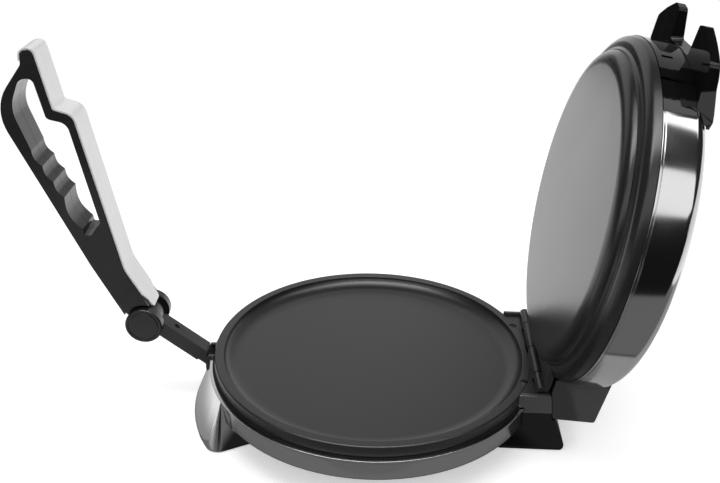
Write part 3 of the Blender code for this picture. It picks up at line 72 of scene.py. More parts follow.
# Hinge
HINGE_X = 0.1411
HINGE_RISE = 0.0038
HINGE_Z = RIM_Z + HINGE_RISE
HINGE_HALF = 0.0645
SPLIT = 0.0400
KNUCKLE_GAP = 0.0013
BARREL_R = 0.0041
PIN_R = 0.0016
TAIL_X = 0.1363
TAIL_LAP = 0.0020
SINK = 0.0002
LID_OPEN = math.radians(99.8)
SCREW_Y = 0.0455
SCREW_X = math.sqrt((PLATE_R - (PLATE_R - DISH_R) * 0.4) ** 2 - SCREW_Y**2)
SCREW_SEAT_R = 0.0033
SCREW_SEAT_DEPTH = 0.0014

# Rear housing, rear foot and the lid's rear cover, which stops against them when the lid is open
COVER_HALF = 0.0660
COVER_LEAD = 0.0017
COVER_LOW = 0.0114
COVER_RUN = 0.0244
COVER_RISE = 0.0074
STOP_GAP = 0.0005
HOUSING_LIP = 0.0022
HOUSING_HEIGHT = 0.0174

# Press arm and grip
PIVOT = Vector((-0.1443, 0.0, -0.0077))
ARM_LENGTH = 0.0690
ARM_REST = math.radians(37.2)
GRIP_REST = math.radians(101.5)
ARM_HALF = 0.0076
ARM_BORE = 0.0023
ARM_PIN_R = 0.0020
EYE_BORE = 0.0043
BRACKET_HALF = 0.0116
BRACKET_BACK = 0.0133
BRACKET_BOTTOM = 0.0076
GRIP_LENGTH = 0.2500
GRIP_DEPTH = 0.0590
GRIP_HALF = 0.0150
LUG_R = 0.0135
STRIP_THICK = 0.0014

SHARP = math.radians(32.0)

LID = (
    Matrix.Translation((HINGE_X, 0.0, HINGE_Z))
    @ Matrix.Rotation(LID_OPEN, 4, "Y")
    @ Matrix.Translation((-HINGE_X, 0.0, -HINGE_RISE))
)
ARM = Matrix.Translation(PIVOT) @ Matrix.Rotation(ARM_REST, 4, "Y")
KNUCKLE = ARM @ Vector((-ARM_LENGTH, 0.0, 0.0))
GRIP = Matrix.Translation(KNUCKLE) @ Matrix.Rotation(-GRIP_REST, 4, "Y")
STILL = Matrix.Identity(4)


# Outlines

def arc(radius, start, end, steps, centre=(0.0, 0.0)):
    """Points from one angle to another, in degrees, both ends included."""
    turn = [math.radians(start + (end - start) * i / steps) for i in range(steps + 1)]
    return [(centre[0] + radius * math.cos(a), centre[1] + radius * math.sin(a)) for a in turn]


def rounded(corners, closed=True, steps=CORNER):
    """Turns (x, y, round) corners into points, each round limited by the straight runs beside it."""
    points = []
    count = len(corners)
    for i, (x, y, radius) in enumerate(corners):
        if radius <= 0.0 or (not closed and i in (0, count - 1)):
            points.append((x, y))
            continue
        corner = Vector((x, y))
        back = Vector(corners[i - 1][:2]) - corner
        ahead = Vector(corners[(i + 1) % count][:2]) - corner
        half = back.angle(ahead) / 2
        run = min(radius / math.tan(half), back.length * 0.49, ahead.length * 0.49)
        back.normalize()
        ahead.normalize()
        centre = corner + (back + ahead).normalized() * (run / math.cos(half))
        start = corner + back * run - centre
        sweep = start.angle_signed(corner + ahead * run - centre)
        points += [tuple(centre + start @ Matrix.Rotation(sweep * k / steps, 2)) for k in range(steps + 1)]
    return points


def offset_path(corners, distance):
    """Moves an open run of (x, y, round) corners to its right by a distance."""
    moved = []
    for i, (x, y, radius) in enumerate(corners):
        here = Vector((x, y))
        ways = []
        if i > 0:
            ways.append((here - Vector(corners[i - 1][:2])).normalized())
        if i < len(corners) - 1:
            ways.append((Vector(corners[i + 1][:2]) - here).normalized())
        normals = [Vector((way.y, -way.x)) for way in ways]
        middle = sum(normals, Vector((0.0, 0.0))).normalized()
        here += middle * (distance / middle.dot(normals[0]))
        turns_left = len(ways) == 2 and ways[0].cross(ways[1]) > 0.0
        moved.append((here.x, here.y, max(radius + (distance if turns_left else -distance), 0.0)))
    return moved


def flowing(points, steps=8):
    """A smooth run through the points, both ends included."""
    padded = [points[0]] + list(points) + [points[-1]]
    run = []
    for i in range(len(points) - 1):
        a, b, c, d = (Vector(p) for p in padded[i : i + 4])
        for k in range(steps):
            t = k / steps
            square, cube = 2 * a - 5 * b + 4 * c - d, 3 * b - a - 3 * c + d
            run.append(tuple(0.5 * (2 * b + (c - a) * t + square * t**2 + cube * t**3)))
    return run + [tuple(points[-1])]


# Meshes

def placed(name, mesh):
    piece = bpy.data.objects.new(name, mesh)
    bpy.context.scene.collection.objects.link(piece)
    return piece


def formed(name, shape):
    """A piece from a shape of its own, which this frees."""
    mesh = bpy.data.meshes.new(name)
    shape.to_mesh(mesh)
    shape.free()
    return placed(name, mesh)


def tidied(mesh, merge=0.00001):
    shape = bmesh.new()
    shape.from_mesh(mesh)
    bmesh.ops.remove_doubles(shape, verts=shape.verts, dist=merge)
    bmesh.ops.recalc_face_normals(shape, faces=shape.faces)
    shape.to_mesh(mesh)
    shape.free()
    return mesh


def turned(name, profile, steps=RING, closed=False):
    """A profile of (radius, height) points turned about Z."""
    shape = bmesh.new()
    line = [shape.verts.new((r, 0.0, h)) for r, h in profile]
    edges = [shape.edges.new(pair) for pair in zip(line, line[1:])]
    if closed:
        edges.append(shape.edges.new((line[-1], line[0])))
    bmesh.ops.spin(
        shape, geom=line + edges, cent=(0, 0, 0), axis=(0, 0, 1), dvec=(0, 0, 0), angle=2 * math.pi,
        steps=steps, use_merge=True, use_duplicate=False,
    )
    bmesh.ops.remove_doubles(shape, verts=shape.verts, dist=0.000005)
    bmesh.ops.recalc_face_normals(shape, faces=shape.faces)
    return formed(name, shape)


def slab(name, outlines, low, high, upright=True):
    """A flat outline, with any holes, from low to high along Y, or along Z if not upright."""
    curve = bpy.data.curves.new(name, "CURVE")
    curve.dimensions = "2D"
    curve.fill_mode = "BOTH"
    curve.extrude = (high - low) / 2
    for outline in outlines:
        spline = curve.splines.new("POLY")
        spline.points.add(len(outline) - 1)
        for point, (across, along) in zip(spline.points, outline):
            point.co = (across, along, 0.0, 1.0)
        spline.use_cyclic_u = True
    guide = placed(name, curve)
    mesh = bpy.data.meshes.new_from_object(guide.evaluated_get(bpy.context.evaluated_depsgraph_get()))
    bpy.data.objects.remove(guide)
    bpy.data.curves.remove(curve)
    middle = (low + high) / 2
    if upright:
        mesh.transform(Matrix.Translation((0.0, middle, 0.0)) @ Matrix.Rotation(math.radians(90.0), 4, "X"))
    else:
        mesh.transform(Matrix.Translation((0.0, 0.0, middle)))
    return placed(name, tidied(mesh))


def rod(name, radius, low, high, place=(0.0, 0.0), along="Y", steps=SMALL):
    """A cylinder along Y at (x, z), or along Z at (x, y)."""
    shape = bmesh.new()
    bmesh.ops.create_cone(
        shape, cap_ends=True, segments=steps, radius1=radius, radius2=radius, depth=high - low
    )
    middle = (low + high) / 2
    if along == "Y":
        move = Matrix.Translation((place[0], middle, place[1])) @ Matrix.Rotation(math.radians(90.0), 4, "X")
    else:
        move = Matrix.Translation((place[0], place[1], middle))
    bmesh.ops.transform(shape, matrix=move, verts=shape.verts)
    return formed(name, shape)


def block(name, low, high):
    shape = bmesh.new()
    bmesh.ops.create_cube(shape, size=1.0)
    low, high = Vector(low), Vector(high)
    move = Matrix.Translation((low + high) / 2) @ Matrix.Diagonal((*(high - low), 1.0))
    bmesh.ops.transform(shape, matrix=move, verts=shape.verts)
    return formed(name, shape)


def loft(name, sections):
    """A closed skin through unlike sections that have the same number of points."""
    shape = bmesh.new()
    rows = [[shape.verts.new(point) for point in section] for section in sections]
    shape.faces.new(rows[0])
    shape.faces.new(rows[-1])
    for lower, upper in zip(rows, rows[1:]):
        for i in range(len(lower)):
            j = (i + 1) % len(lower)
            shape.faces.new((lower[i], lower[j], upper[j], upper[i]))
    bmesh.ops.recalc_face_normals(shape, faces=shape.faces)
    return formed(name, shape)


def gathered(name, *tools):
    """One tool made of several that do not touch each other."""
    whole = bmesh.new()
    for tool in tools:
        whole.from_mesh(tool.data)
        bpy.data.objects.remove(tool)
    return formed(name, whole)


def soften(piece, width, segments, angle=35.0):
    edge = piece.modifiers.new("Edge", "BEVEL")
    edge.width = width
    edge.segments = segments
    edge.limit_method = "ANGLE"
    edge.angle_limit = math.radians(angle)
    edge.harden_normals = False
    settle(piece)


def settle(piece):
    """Turns a piece's modifiers into its mesh."""
    made = bpy.data.meshes.new_from_object(piece.evaluated_get(bpy.context.evaluated_depsgraph_get()))
    piece.modifiers.clear()
    piece.data = made


def combine(piece, operation, tools):
    for tool in tools:
        change = piece.modifiers.new("Change", "BOOLEAN")
        change.operation = operation
        change.solver = "EXACT"
        change.object = tool
        settle(piece)
        bpy.data.objects.remove(tool)
    if not piece.data.polygons:
        raise RuntimeError(f"{piece.name} came out empty")


def cut(piece, *tools):
    combine(piece, "DIFFERENCE", tools)


def join(piece, *tools):
    combine(piece, "UNION", tools)


def copied(tool):
    return placed(tool.name, tool.data.copy())


def show(piece, body, node, finish, station=STILL, weighted=True):
    """Puts a finished piece in its place, in its finish, and lets it stand for its solid."""
    mesh = piece.data
    mesh.materials.clear()
    mesh.materials.append(finish)
    mesh.shade_smooth()
    mesh.set_sharp_from_angle(angle=SHARP)
    piece.name = f"look_{node}"
    if weighted:
        even = piece.modifiers.new("Even", "WEIGHTED_NORMAL")
        even.keep_sharp = True
        even.weight = 80
        settle(piece)
    piece.data.transform(station)
    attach(piece, body)
    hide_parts(node)


# Finishes

class Wire:
    """A value in a finish's nodes, which can be reckoned with as a number is."""

    def __init__(self, mix, socket):
        self.mix = mix
        self.socket = socket

    def math(self, operation, *terms):
        return self.mix.add("Math", {"operation": operation}, dict(enumerate(terms)))

    def __add__(self, other):
        return self.math("ADD", self, other)

    def __sub__(self, other):
        return self.math("SUBTRACT", self, other)

    def __mul__(self, other):
        return self.math("MULTIPLY", self, other)

    def clear_of(self, low, high):
        """0 below low, 1 above high and smooth between."""
        values = {"Value": self, "From Min": low, "From Max": high}
        return self.mix.add("MapRange", {"interpolation_type": "SMOOTHSTEP"}, values)


class Mix:
    """The nodes of a finish or of the studio's world."""

    def __init__(self, tree):
        self.tree = tree

    def add(self, kind, settings=None, values=None, output=0):
        """Any node by its type; settings go first, then the values or links of its sockets."""
        node = self.tree.nodes.new(f"ShaderNode{kind}")
        for key, value in (settings or {}).items():
            if key == "stops":
                ramp = node.color_ramp
                for spot, (place, colour) in enumerate(value):
                    stop = ramp.elements[spot] if spot < 2 else ramp.elements.new(place)
                    stop.position = place
                    stop.color = (*colour, 1.0)
            else:
                setattr(node, key, value)
        for key, value in (values or {}).items():
            self.plug(node.inputs[key], value)
        return Wire(self, node.outputs[output])

    def plug(self, socket, value):
        if isinstance(value, Wire):
            self.tree.links.new(value.socket, socket)
        elif socket.type == "RGBA":
            socket.default_value = (*value[:3], 1.0)
        else:
            socket.default_value = value

    def ray(self, *kinds):
        """1 for a ray of any of these kinds."""
        found = self.add("LightPath", output=kinds[0])
        for kind in kinds[1:]:
            found = found.math("MAXIMUM", found, self.add("LightPath", output=kind))
        return found


class Finish(Mix):
    """A finish of this object, as a material made of nodes; turn is how its body stands at rest."""

    def __init__(self, name, turn=0.0):
        self.material = bpy.data.materials.new(name)
        self.material.use_nodes = True
        self.shader = self.material.node_tree.nodes["Principled BSDF"]
        self.turn = turn
        super().__init__(self.material.node_tree)

    def place(self, stretch):
        """The body's own coordinates, in metres, stretched along its axes."""
        own = self.add("TexCoord", output=3)
        if self.turn:
            own = self.add("VectorRotate", {"rotation_type": "Y_AXIS"}, {"Vector": own, "Angle": -self.turn})
        return self.add("VectorMath", {"operation": "MULTIPLY"}, {0: own, 1: stretch})

    def noise(self, scale, detail, rough=0.5, stretch=(1.0, 1.0, 1.0)):
        values = {"Vector": self.place(stretch), "Scale": scale, "Detail": detail, "Roughness": rough}
        return self.add("TexNoise", None, values)

    def blend(self, share, first, second):
        """One colour into another by a share."""
        return self.add("Mix", {"data_type": "RGBA"}, {0: share, 6: first, 7: second}, output=2)

    def relief(self, height, depth, under=None):
        values = {"Strength": 1.0, "Distance": depth, "Height": height}
        if under is not None:
            values["Normal"] = under
        return self.add("Bump", None, values)

    def cover(self, shader):
        """A shader of its own in place of the usual one."""
        self.plug(self.tree.nodes["Material Output"].inputs["Surface"], shader)

    def dress(self, **sockets):
        for key, value in sockets.items():
            self.plug(self.shader.inputs[key.replace("_", " ")], value)
        return self.material


def grey(level, warmth=0.0):
    return (level * (1.0 + warmth), level, level * (1.0 - warmth))


def make_coat(name, level, roughness, gloss):
    """Sprayed non-stick coat: fine sandy grain, slow cloudy change of sheen."""
    coat = Finish(name)
    grain = coat.noise(2600.0, 2.0, 0.6)
    pores = coat.noise(900.0, 3.0, 0.6)
    cloud = coat.noise(22.0, 3.0)
    colour = coat.blend(cloud, grey(level * 0.92), grey(level * 1.10))
    relief = coat.relief(grain * 0.7 + pores * 0.6, 0.000035)
    return coat.dress(
        Base_Color=colour, Roughness=cloud * 0.06 + grain * 0.05 + (roughness - 0.055), Normal=relief,
        Specular_IOR_Level=gloss,
    )


def make_polish(name, level, roughness, turn=0.0):
    """Polished sheet steel: faint turned lines, smears and a slow wave of the sheet."""
    steel = Finish(name, turn)
    lines = steel.noise(60.0, 3.0, 0.6, stretch=(1.0, 1.0, 60.0))
    smear = steel.noise(14.0, 4.0, 0.55).clear_of(0.42, 0.72)
    wave = steel.noise(9.0, 1.0)
    colour = steel.blend(smear, grey(level), grey(level * 0.96, 0.006))
    relief = steel.relief(lines, 0.000002, steel.relief(wave, 0.00010))
    return steel.dress(
        Base_Color=colour, Metallic=1.0, Roughness=smear * 0.05 + lines * 0.03 + roughness, Normal=relief
    )


def make_plastic(name, level, roughness, grain_depth, gloss, orange=0.0):
    """Moulded plastic: a fine spark-eroded grain, or the soft ripple of a glossy moulding."""
    plastic = Finish(name)
    grain = plastic.noise(3200.0, 2.0, 0.55)
    ripple = plastic.noise(240.0, 2.0)
    rub = plastic.noise(30.0, 4.0, 0.6).clear_of(0.45, 0.75)
    colour = plastic.blend(rub, grey(level), grey(level * 1.18))
    relief = plastic.relief(grain, grain_depth, plastic.relief(ripple, orange))
    return plastic.dress(
        Base_Color=colour, Roughness=rub * 0.05 + grain * 0.05 + (roughness - 0.025), Normal=relief,
        Specular_IOR_Level=gloss,
    )


def make_brushed(name):
    """Silver strip brushed along the grip."""
    strip = Finish(name, -GRIP_REST)
    lines = strip.noise(900.0, 4.0, 0.7, stretch=(0.04, 1.0, 0.3))
    broad = strip.noise(160.0, 2.0, stretch=(0.05, 1.0, 0.4))
    colour = strip.blend(lines * 0.6 + broad * 0.4, grey(0.68, 0.004), grey(0.80, 0.004))
    return strip.dress(
        Base_Color=colour, Metallic=0.35, Roughness=lines * 0.14 + 0.30, Normal=strip.relief(lines, 0.000016)
    )


def make_plain_steel(name, level, roughness):
    steel = Finish(name)
    lines = steel.noise(1500.0, 3.0, 0.6)
    spots = steel.noise(260.0, 3.0).clear_of(0.5, 0.7)
    colour = steel.blend(spots, grey(level), grey(level * 0.82, 0.01))
    return steel.dress(
        Base_Color=colour, Metallic=1.0, Roughness=lines * 0.12 + spots * 0.08 + roughness,
        Normal=steel.relief(lines, 0.00001),
    )


def make_rubber(name):
    rubber = Finish(name)
    grain = rubber.noise(1400.0, 3.0, 0.6)
    dust = rubber.noise(90.0, 4.0, 0.6).clear_of(0.5, 0.8)
    colour = rubber.blend(dust, grey(0.022), grey(0.040, 0.02))
    return rubber.dress(
        Base_Color=colour, Roughness=grain * 0.12 + 0.72, Normal=rubber.relief(grain, 0.00004),
        Specular_IOR_Level=0.3,
    )


lower_coat = make_coat("lower_coat", 0.012, 0.31, 0.60)
upper_coat = make_coat("upper_coat", 0.014, 0.24, 0.47)
polish = make_polish("polished_steel", 0.56, 0.10)
lid_polish = make_polish("polished_lid", 0.56, 0.10, LID_OPEN)
gloss_plastic = make_plastic("gloss_black", 0.004, 0.05, 0.0000004, 0.36, 0.00003)
cover_plastic = make_plastic("cover_black", 0.014, 0.10, 0.0000008, 1.0, 0.00012)
housing_plastic = make_plastic("housing_black", 0.046, 0.24, 0.000004, 0.80)
satin_plastic = make_plastic("moulded_black", 0.009, 0.19, 0.000003, 0.62)
foot_plastic = make_plastic("foot_black", 0.005, 0.12, 0.000002, 0.40, 0.00002)
inner_plastic = make_plastic("inner_black", 0.010, 0.45, 0.000010, 0.25)
silver = make_brushed("silver_strip")
plain_steel = make_plain_steel("plain_steel", 0.09, 0.30)
heater_steel = make_plain_steel("heater_tube", 0.20, 0.42)
rubber = make_rubber("pad_rubber")

finish_of_slot = {
    "cast_plate": lower_coat,
    "heater_tube": heater_steel,
    "plain_steel": plain_steel,
    "polished_steel": polish,
    "moulded_black": inner_plastic,
    "gloss_black": gloss_plastic,
    "silver_strip": silver,
    "pad_rubber": rubber,
}
for entry in frame["record"]["subparts"]:
    solid = frame["nodes"][entry["node"]]
    solid.data.materials.clear()
    solid.data.materials.append(finish_of_slot[entry["material_slot"]])
    solid.data.shade_smooth()
    solid.data.set_sharp_from_angle(angle=SHARP)


# Base

def make_clearance():
    """The room that the plate and its ring take from the feet and the rear housing."""
    step = BODY_TOP - BEAD_HEIGHT - GAP / 2
    profile = [
        (0.0, RIM_Z + OVER),
        (PLATE_R + GAP, RIM_Z + OVER),
        (PLATE_R + GAP, LIP_Z),
        (BODY_R + BEAD + GAP, LIP_Z),
        (BODY_R + BEAD + GAP, step),
        (BODY_R + GAP, step),
        (BODY_R + GAP, BODY_BOTTOM - GAP),
        (0.0, BODY_BOTTOM - GAP),
    ]
    return turned("clearance", profile, RING)


def make_notch():
    """The room that the press arm's bracket takes from the ring and the front foot."""
    half = BRACKET_HALF + GAP
    return block(
        "notch",
        (-BODY_R - FOOT_FLARE - OVER, -half, PIVOT.z - BRACKET_BOTTOM - GAP),
        (PIVOT.x + BRACKET_BACK + GAP, half, RIM_Z),
    )


def knuckle_outline(before, barrel, after, centre):
    points = before + arc(BARREL_R, *barrel, SMALL) + after
    return [(centre[0] + x, centre[1] + z) for x, z in points]


def make_knuckles(name, spans, outline, centre):
    bore = arc(PIN_R + GAP, 0.0, 360.0, SMALL, centre)[:-1]
    side = KNUCKLE_GAP / 2
    return gathered(name, *(slab("knuckle", [outline, bore], low + side, high - side) for low, high in spans))


def make_tail(low, high):
    inner = DISH_R + TAIL_LAP
    half = math.degrees(math.asin(HINGE_HALF / inner))
    outline = arc(inner, half, -half, SMALL) + [(TAIL_X, -HINGE_HALF), (TAIL_X, HINGE_HALF)]
    return slab("tail", [outline], low, high, upright=False)


def make_lower_plate():
    run = DISH_R - DISH_FLOOR_R
    wall = [
        (DISH_FLOOR_R + run * math.sin(a), RIM_Z * (1.0 - math.cos(a)))
        for a in (math.radians(90.0 * i / 20) for i in range(19))
    ]
    top = rounded(
        [
            (wall[-1][0], wall[-1][1], 0.0),
            (DISH_R, RIM_Z, 0.0011),
            (PLATE_R, RIM_Z, 0.0017),
            (PLATE_R, LIP_Z, 0.0005),
            (PLATE_R - LIP_WALL, LIP_Z, 0.0005),
            (PLATE_R - LIP_WALL, RIM_Z - PLATE_WALL, 0.0),
        ],
        closed=False,
    )
    under = [
        (DISH_R + PLATE_WALL, RIM_Z - PLATE_WALL),
        (DISH_FLOOR_R + PLATE_WALL * 3, -PLATE_WALL * 0.4),
        (DISH_FLOOR_R, -PLATE_WALL),
    ]
    plate = turned("plate", [(0.0, 0.0)] + wall + top[1:] + under + [(0.0, -PLATE_WALL)])
    low, high = RIM_Z - PLATE_WALL + SINK, RIM_Z - SINK
    side = KNUCKLE_GAP / 2
    slots = [
        block("slot", (TAIL_X + GAP, near - side, LIP_Z - OVER), (HINGE_X + OVER, far + side, RIM_Z + OVER))
        for near, far in ((0.0, SPLIT), (-HINGE_HALF, -SPLIT))
    ]
    join(plate, make_tail(low, high))
    cut(plate, gathered("slots", *slots))
    start = TAIL_X - PLATE_WALL - HINGE_X
    low, high = low + SINK - HINGE_Z, high - SINK - HINGE_Z
    before = [(start, high), (-BARREL_R, high)]
    after = [(BARREL_R * 0.3, low), (start, low)]
    centre = (HINGE_X, HINGE_Z)
    outline = knuckle_outline(before, (210.0, -40.0), after, centre)
    join(plate, make_knuckles("knuckles", ((SPLIT, HINGE_HALF), (-SPLIT, 0.0)), outline, centre))
    spots = [(SCREW_X, side * SCREW_Y) for side in (-1.0, 1.0)]
    holes = [rod("seat", SCREW_SEAT_R, RIM_Z - SCREW_SEAT_DEPTH, RIM_Z + OVER, spot, "Z") for spot in spots]
    cut(plate, gathered("seats", *holes))
    show(plate, "base", "lower_cooking_plate", lower_coat)


def make_ring():
    inner = BODY_R - SHEET
    top = BODY_TOP
    corners = [
        (inner, top, 0.0003),
        (BODY_R + BEAD, top, 0.0003),
        (BODY_R + BEAD, top - BEAD_HEIGHT, 0.0007),
        (BODY_R, top - BEAD_HEIGHT, 0.0004),
        (BODY_R, BODY_BOTTOM, 0.0016),
        (BODY_R - BODY_FLANGE, BODY_BOTTOM, 0.0002),
        (BODY_R - BODY_FLANGE, BODY_BOTTOM + SHEET, 0.0002),
        (inner, BODY_BOTTOM + SHEET, 0.0007),
    ]
    ring = turned("ring", rounded(corners), closed=True)
    cut(ring, make_notch())
    show(ring, "base", "base_housing", polish, weighted=False)


PAD_R = 0.0080
PAD_HEIGHT = 0.0030
FOOT_FLARE = 0.0173
FOOT_DEPTH = 0.0177
FOOT_PAD_ANGLE = 26.0
REAR_PAD_X = BODY_R - 0.0089
REAR_PAD_Y = 0.0500


def foot_section(outer, inner, outer_half, inner_half, corner, height):
    """A level section of the front foot; the halves are angles, in degrees, and corner rounds its front."""
    lead = math.degrees(2.0 * corner / outer)
    front = arc(outer, 180.0 - outer_half + lead, 180.0 + outer_half - lead, 36)
    rear = arc(inner, 180.0 + inner_half, 180.0 - inner_half, 40)
    ends = arc(outer, 180.0 - outer_half, 180.0 + outer_half, 1)
    corners = [(*ends[0], corner)] + [(x, y, 0.0) for x, y in front] + [(*ends[1], corner)]
    corners += [(x, y, 0.0) for x, y in rear]
    return [(x, y, height) for x, y in rounded(corners)]


def pad_seat(place):
    return rod("seat", PAD_R + GAP, FOOT_BOTTOM - OVER, FLOOR_Z + PAD_HEIGHT + GAP, place, "Z")


def make_pad(node, place):
    corners = [(0.0, 0.0, 0.0), (PAD_R, 0.0, 0.0008), (PAD_R, PAD_HEIGHT, 0.0002), (0.0, PAD_HEIGHT, 0.0)]
    pad = turned("pad", rounded(corners, closed=False), MIDDLE)
    show(pad, "base", node, rubber, Matrix.Translation((*place, FLOOR_Z)))


def make_front_foot(clearance):
    top = BODY_TOP - BEAD_HEIGHT - GAP
    sections = [
        foot_section(BODY_R + FOOT_FLARE, BODY_R - FOOT_DEPTH, 34.5, 36.2, 0.0115, FOOT_BOTTOM),
        foot_section(BODY_R + GAP + 0.0010, BODY_R - SHEET, 30.0, 38.0, 0.0060, top),
    ]
    foot = loft("foot", sections)
    soften(foot, 0.0007, 2, 40.0)
    reach = BODY_R + (FOOT_FLARE - FOOT_DEPTH) / 2
    turn = math.radians(FOOT_PAD_ANGLE)
    spots = [(-reach * math.cos(turn), side * reach * math.sin(turn)) for side in (-1.0, 1.0)]
    cut(foot, copied(clearance), make_notch(), gathered("seats", *(pad_seat(spot) for spot in spots)))
    show(foot, "base", "front_foot", polish)
    for node, spot in zip(("front_pad_near", "front_pad_far"), spots):
        make_pad(node, spot)


def opened(across, height):
    """Where a point of the lid's rear cover lies when the lid is open, as (x, z)."""
    reach, rise = across - HINGE_X, height - HINGE_RISE
    return (
        HINGE_X + reach * math.cos(LID_OPEN) + rise * math.sin(LID_OPEN),
        HINGE_Z - reach * math.sin(LID_OPEN) + rise * math.cos(LID_OPEN),
    )


def stop_line(height):
    """How far back the open lid's box lies at a height."""
    lead = HINGE_X - COVER_LEAD
    upper = opened(lead, COVER_LOW)
    lower = opened(lead + COVER_RUN, COVER_LOW + COVER_RISE)
    return upper[0] + (lower[0] - upper[0]) * (height - upper[1]) / (lower[1] - upper[1])


def make_rear_foot(clearance):
    top = RIM_Z + HOUSING_LIP - HOUSING_HEIGHT - GAP
    shelf = (BODY_R + 0.0130, RIM_Z - 0.0233)
    toe_round = 0.0055
    toe = (BODY_R + 0.0219, FOOT_BOTTOM + toe_round)
    tuck = BODY_R - 0.0397
    corners = [
        (BODY_R - FOOT_DEPTH, top, 0.0),
        (stop_line(top) - STOP_GAP, top, 0.0),
        (stop_line(shelf[1]) - STOP_GAP, shelf[1], 0.0),
        (*shelf, 0.0012),
        (*toe, toe_round),
        (toe[0] - 0.0012, FOOT_BOTTOM, toe_round),
        (tuck + 0.0071, FOOT_BOTTOM, 0.0010),
        (tuck, FOOT_BOTTOM + 0.0120, 0.0010),
        (tuck, BODY_BOTTOM - GAP, 0.0),
    ]
    foot = slab("foot", [rounded(corners)], -COVER_HALF, COVER_HALF)
    soften(foot, 0.0012, 3)
    spots = [(REAR_PAD_X, side * REAR_PAD_Y) for side in (-1.0, 1.0)]
    slope = Vector(toe) - Vector(shelf)
    middle = Vector(shelf) + slope * 0.58
    lean = Matrix.Rotation(-math.atan2(slope.y, slope.x), 4, "Y")
    way = Matrix.Translation((middle.x, 0.0, middle.y)) @ lean
    inlet_r, inlet_length = 0.0055, 0.0110
    hole = rod("hole", inlet_r + GAP, -inlet_length - GAP, OVER, along="Z")
    hole.data.transform(way)
    cut(foot, copied(clearance), gathered("seats", *(pad_seat(spot) for spot in spots)), hole)
    show(foot, "base", "rear_foot", foot_plastic)
    for node, spot in zip(("rear_pad_near", "rear_pad_far"), spots):
        make_pad(node, spot)
    bore, collar, height = 0.0033, 0.0075, 0.0022
    corners = [
        (bore, height, 0.0007),
        (collar, height, 0.0009),
        (collar, GAP, 0.0002),
        (inlet_r, GAP, 0.0),
        (inlet_r, -inlet_length, 0.0002),
        (bore, -inlet_length, 0.0002),
    ]
    bush = turned("bush", rounded(corners), MIDDLE, closed=True)
    show(bush, "base", "cord_grommet", rubber, way)


def make_rear_housing(clearance):
    top = RIM_Z + HOUSING_LIP
    bottom = top - HOUSING_HEIGHT
    front = BODY_R - 0.0240
    outline = [
        (front, top),
        (stop_line(top) - STOP_GAP, top),
        (stop_line(bottom) - STOP_GAP, bottom),
        (front, bottom),
    ]
    inside = HINGE_HALF + GAP * 2
    outside = inside + 0.0034
    housing = slab("housing", [outline], -outside, outside)
    soften(housing, 0.0008, 3)
    step = HINGE_X + BARREL_R + GAP * 2
    pocket_low, sill = RIM_Z - 0.0035, RIM_Z + GAP * 2
    pocket = [
        (front - OVER, pocket_low),
        (step, pocket_low),
        (step, sill),
        (step + OVER * 2, sill),
        (step + OVER * 2, top + OVER),
        (front - OVER, top + OVER),
    ]
    cut(housing, slab("pocket", [pocket], -inside, inside), copied(clearance))
    show(housing, "base", "rear_housing", housing_plastic)


def cross_slots(width, length, low, high):
    """A cross recess for a driver, as two tools."""
    return [
        block("slot", (-length, -width, low), (length, width, high)),
        block("slot", (-width, -length, low - 0.0002), (width, length, high + 0.0002)),
    ]


def make_screw(node, body, station, head, height, shank, reach):
    """A cross-head screw whose head tops out at its own origin."""
    corners = [
        (0.0, 0.0, 0.0),
        (head * 0.55, 0.0, 0.0004),
        (head - 0.0001, -height * 0.42, 0.0006),
        (head, -height, 0.0001),
        (shank, -height, 0.0),
        (shank, -reach, 0.0002),
        (0.0, -reach, 0.0),
    ]
    screw = turned("screw", rounded(corners, closed=False), MIDDLE)
    cut(screw, *cross_slots(head * 0.13, head * 0.62, -height * 0.75, OVER))
    show(screw, body, node, plain_steel, station)


def make_hinge():
    reach = HINGE_HALF - KNUCKLE_GAP / 2
    pin = rod("pin", PIN_R, -reach, reach, (HINGE_X, HINGE_Z))
    soften(pin, 0.0004, 2)
    show(pin, "base", "hinge_pin", plain_steel)
    for node, side in (("plate_screw_near", -1.0), ("plate_screw_far", 1.0)):
        turn = Matrix.Rotation(0.6 + side * 0.35, 4, "Z")
        place = Matrix.Translation((SCREW_X, side * SCREW_Y, RIM_Z - SINK))
        make_screw(node, "base", place @ turn, head=0.0030, height=0.0011, shank=0.0014, reach=0.0150)


def make_bracket():
    front, back = PIVOT.x - 0.0042, PIVOT.x + BRACKET_BACK
    top, bottom = PIVOT.z + 0.0085, PIVOT.z - BRACKET_BOTTOM
    lip, shelf = -PLATE_R - GAP * 3, PIVOT.z + 0.0062
    corner_round = 0.0030
    corners = [
        (front, top, corner_round),
        (lip, top, 0.0),
        (lip, shelf, 0.0),
        (back, shelf, 0.0),
        (back, bottom, 0.0),
        (front, bottom, corner_round),
    ]
    bracket = slab("bracket", [rounded(corners)], -BRACKET_HALF, BRACKET_HALF)
    soften(bracket, 0.0005, 2)
    slot_half = ARM_HALF + GAP * 2
    slot = block(
        "slot", (front - OVER, -slot_half, bottom + 0.0021), (PIVOT.x + 0.0059, slot_half, top + OVER)
    )
    wide = BRACKET_HALF + OVER
    cut(bracket, slot, rod("bore", ARM_BORE, -wide, wide, (PIVOT.x, PIVOT.z)))
    show(bracket, "base", "arm_bracket", satin_plastic)
    pin = rod("pin", ARM_PIN_R, -BRACKET_HALF, BRACKET_HALF, (PIVOT.x, PIVOT.z))
    soften(pin, 0.0004, 2)
    show(pin, "base", "arm_pivot_pin", plain_steel)


# Lid, in its own frame: the origin is the closed lid's centre at the height of the closed rim

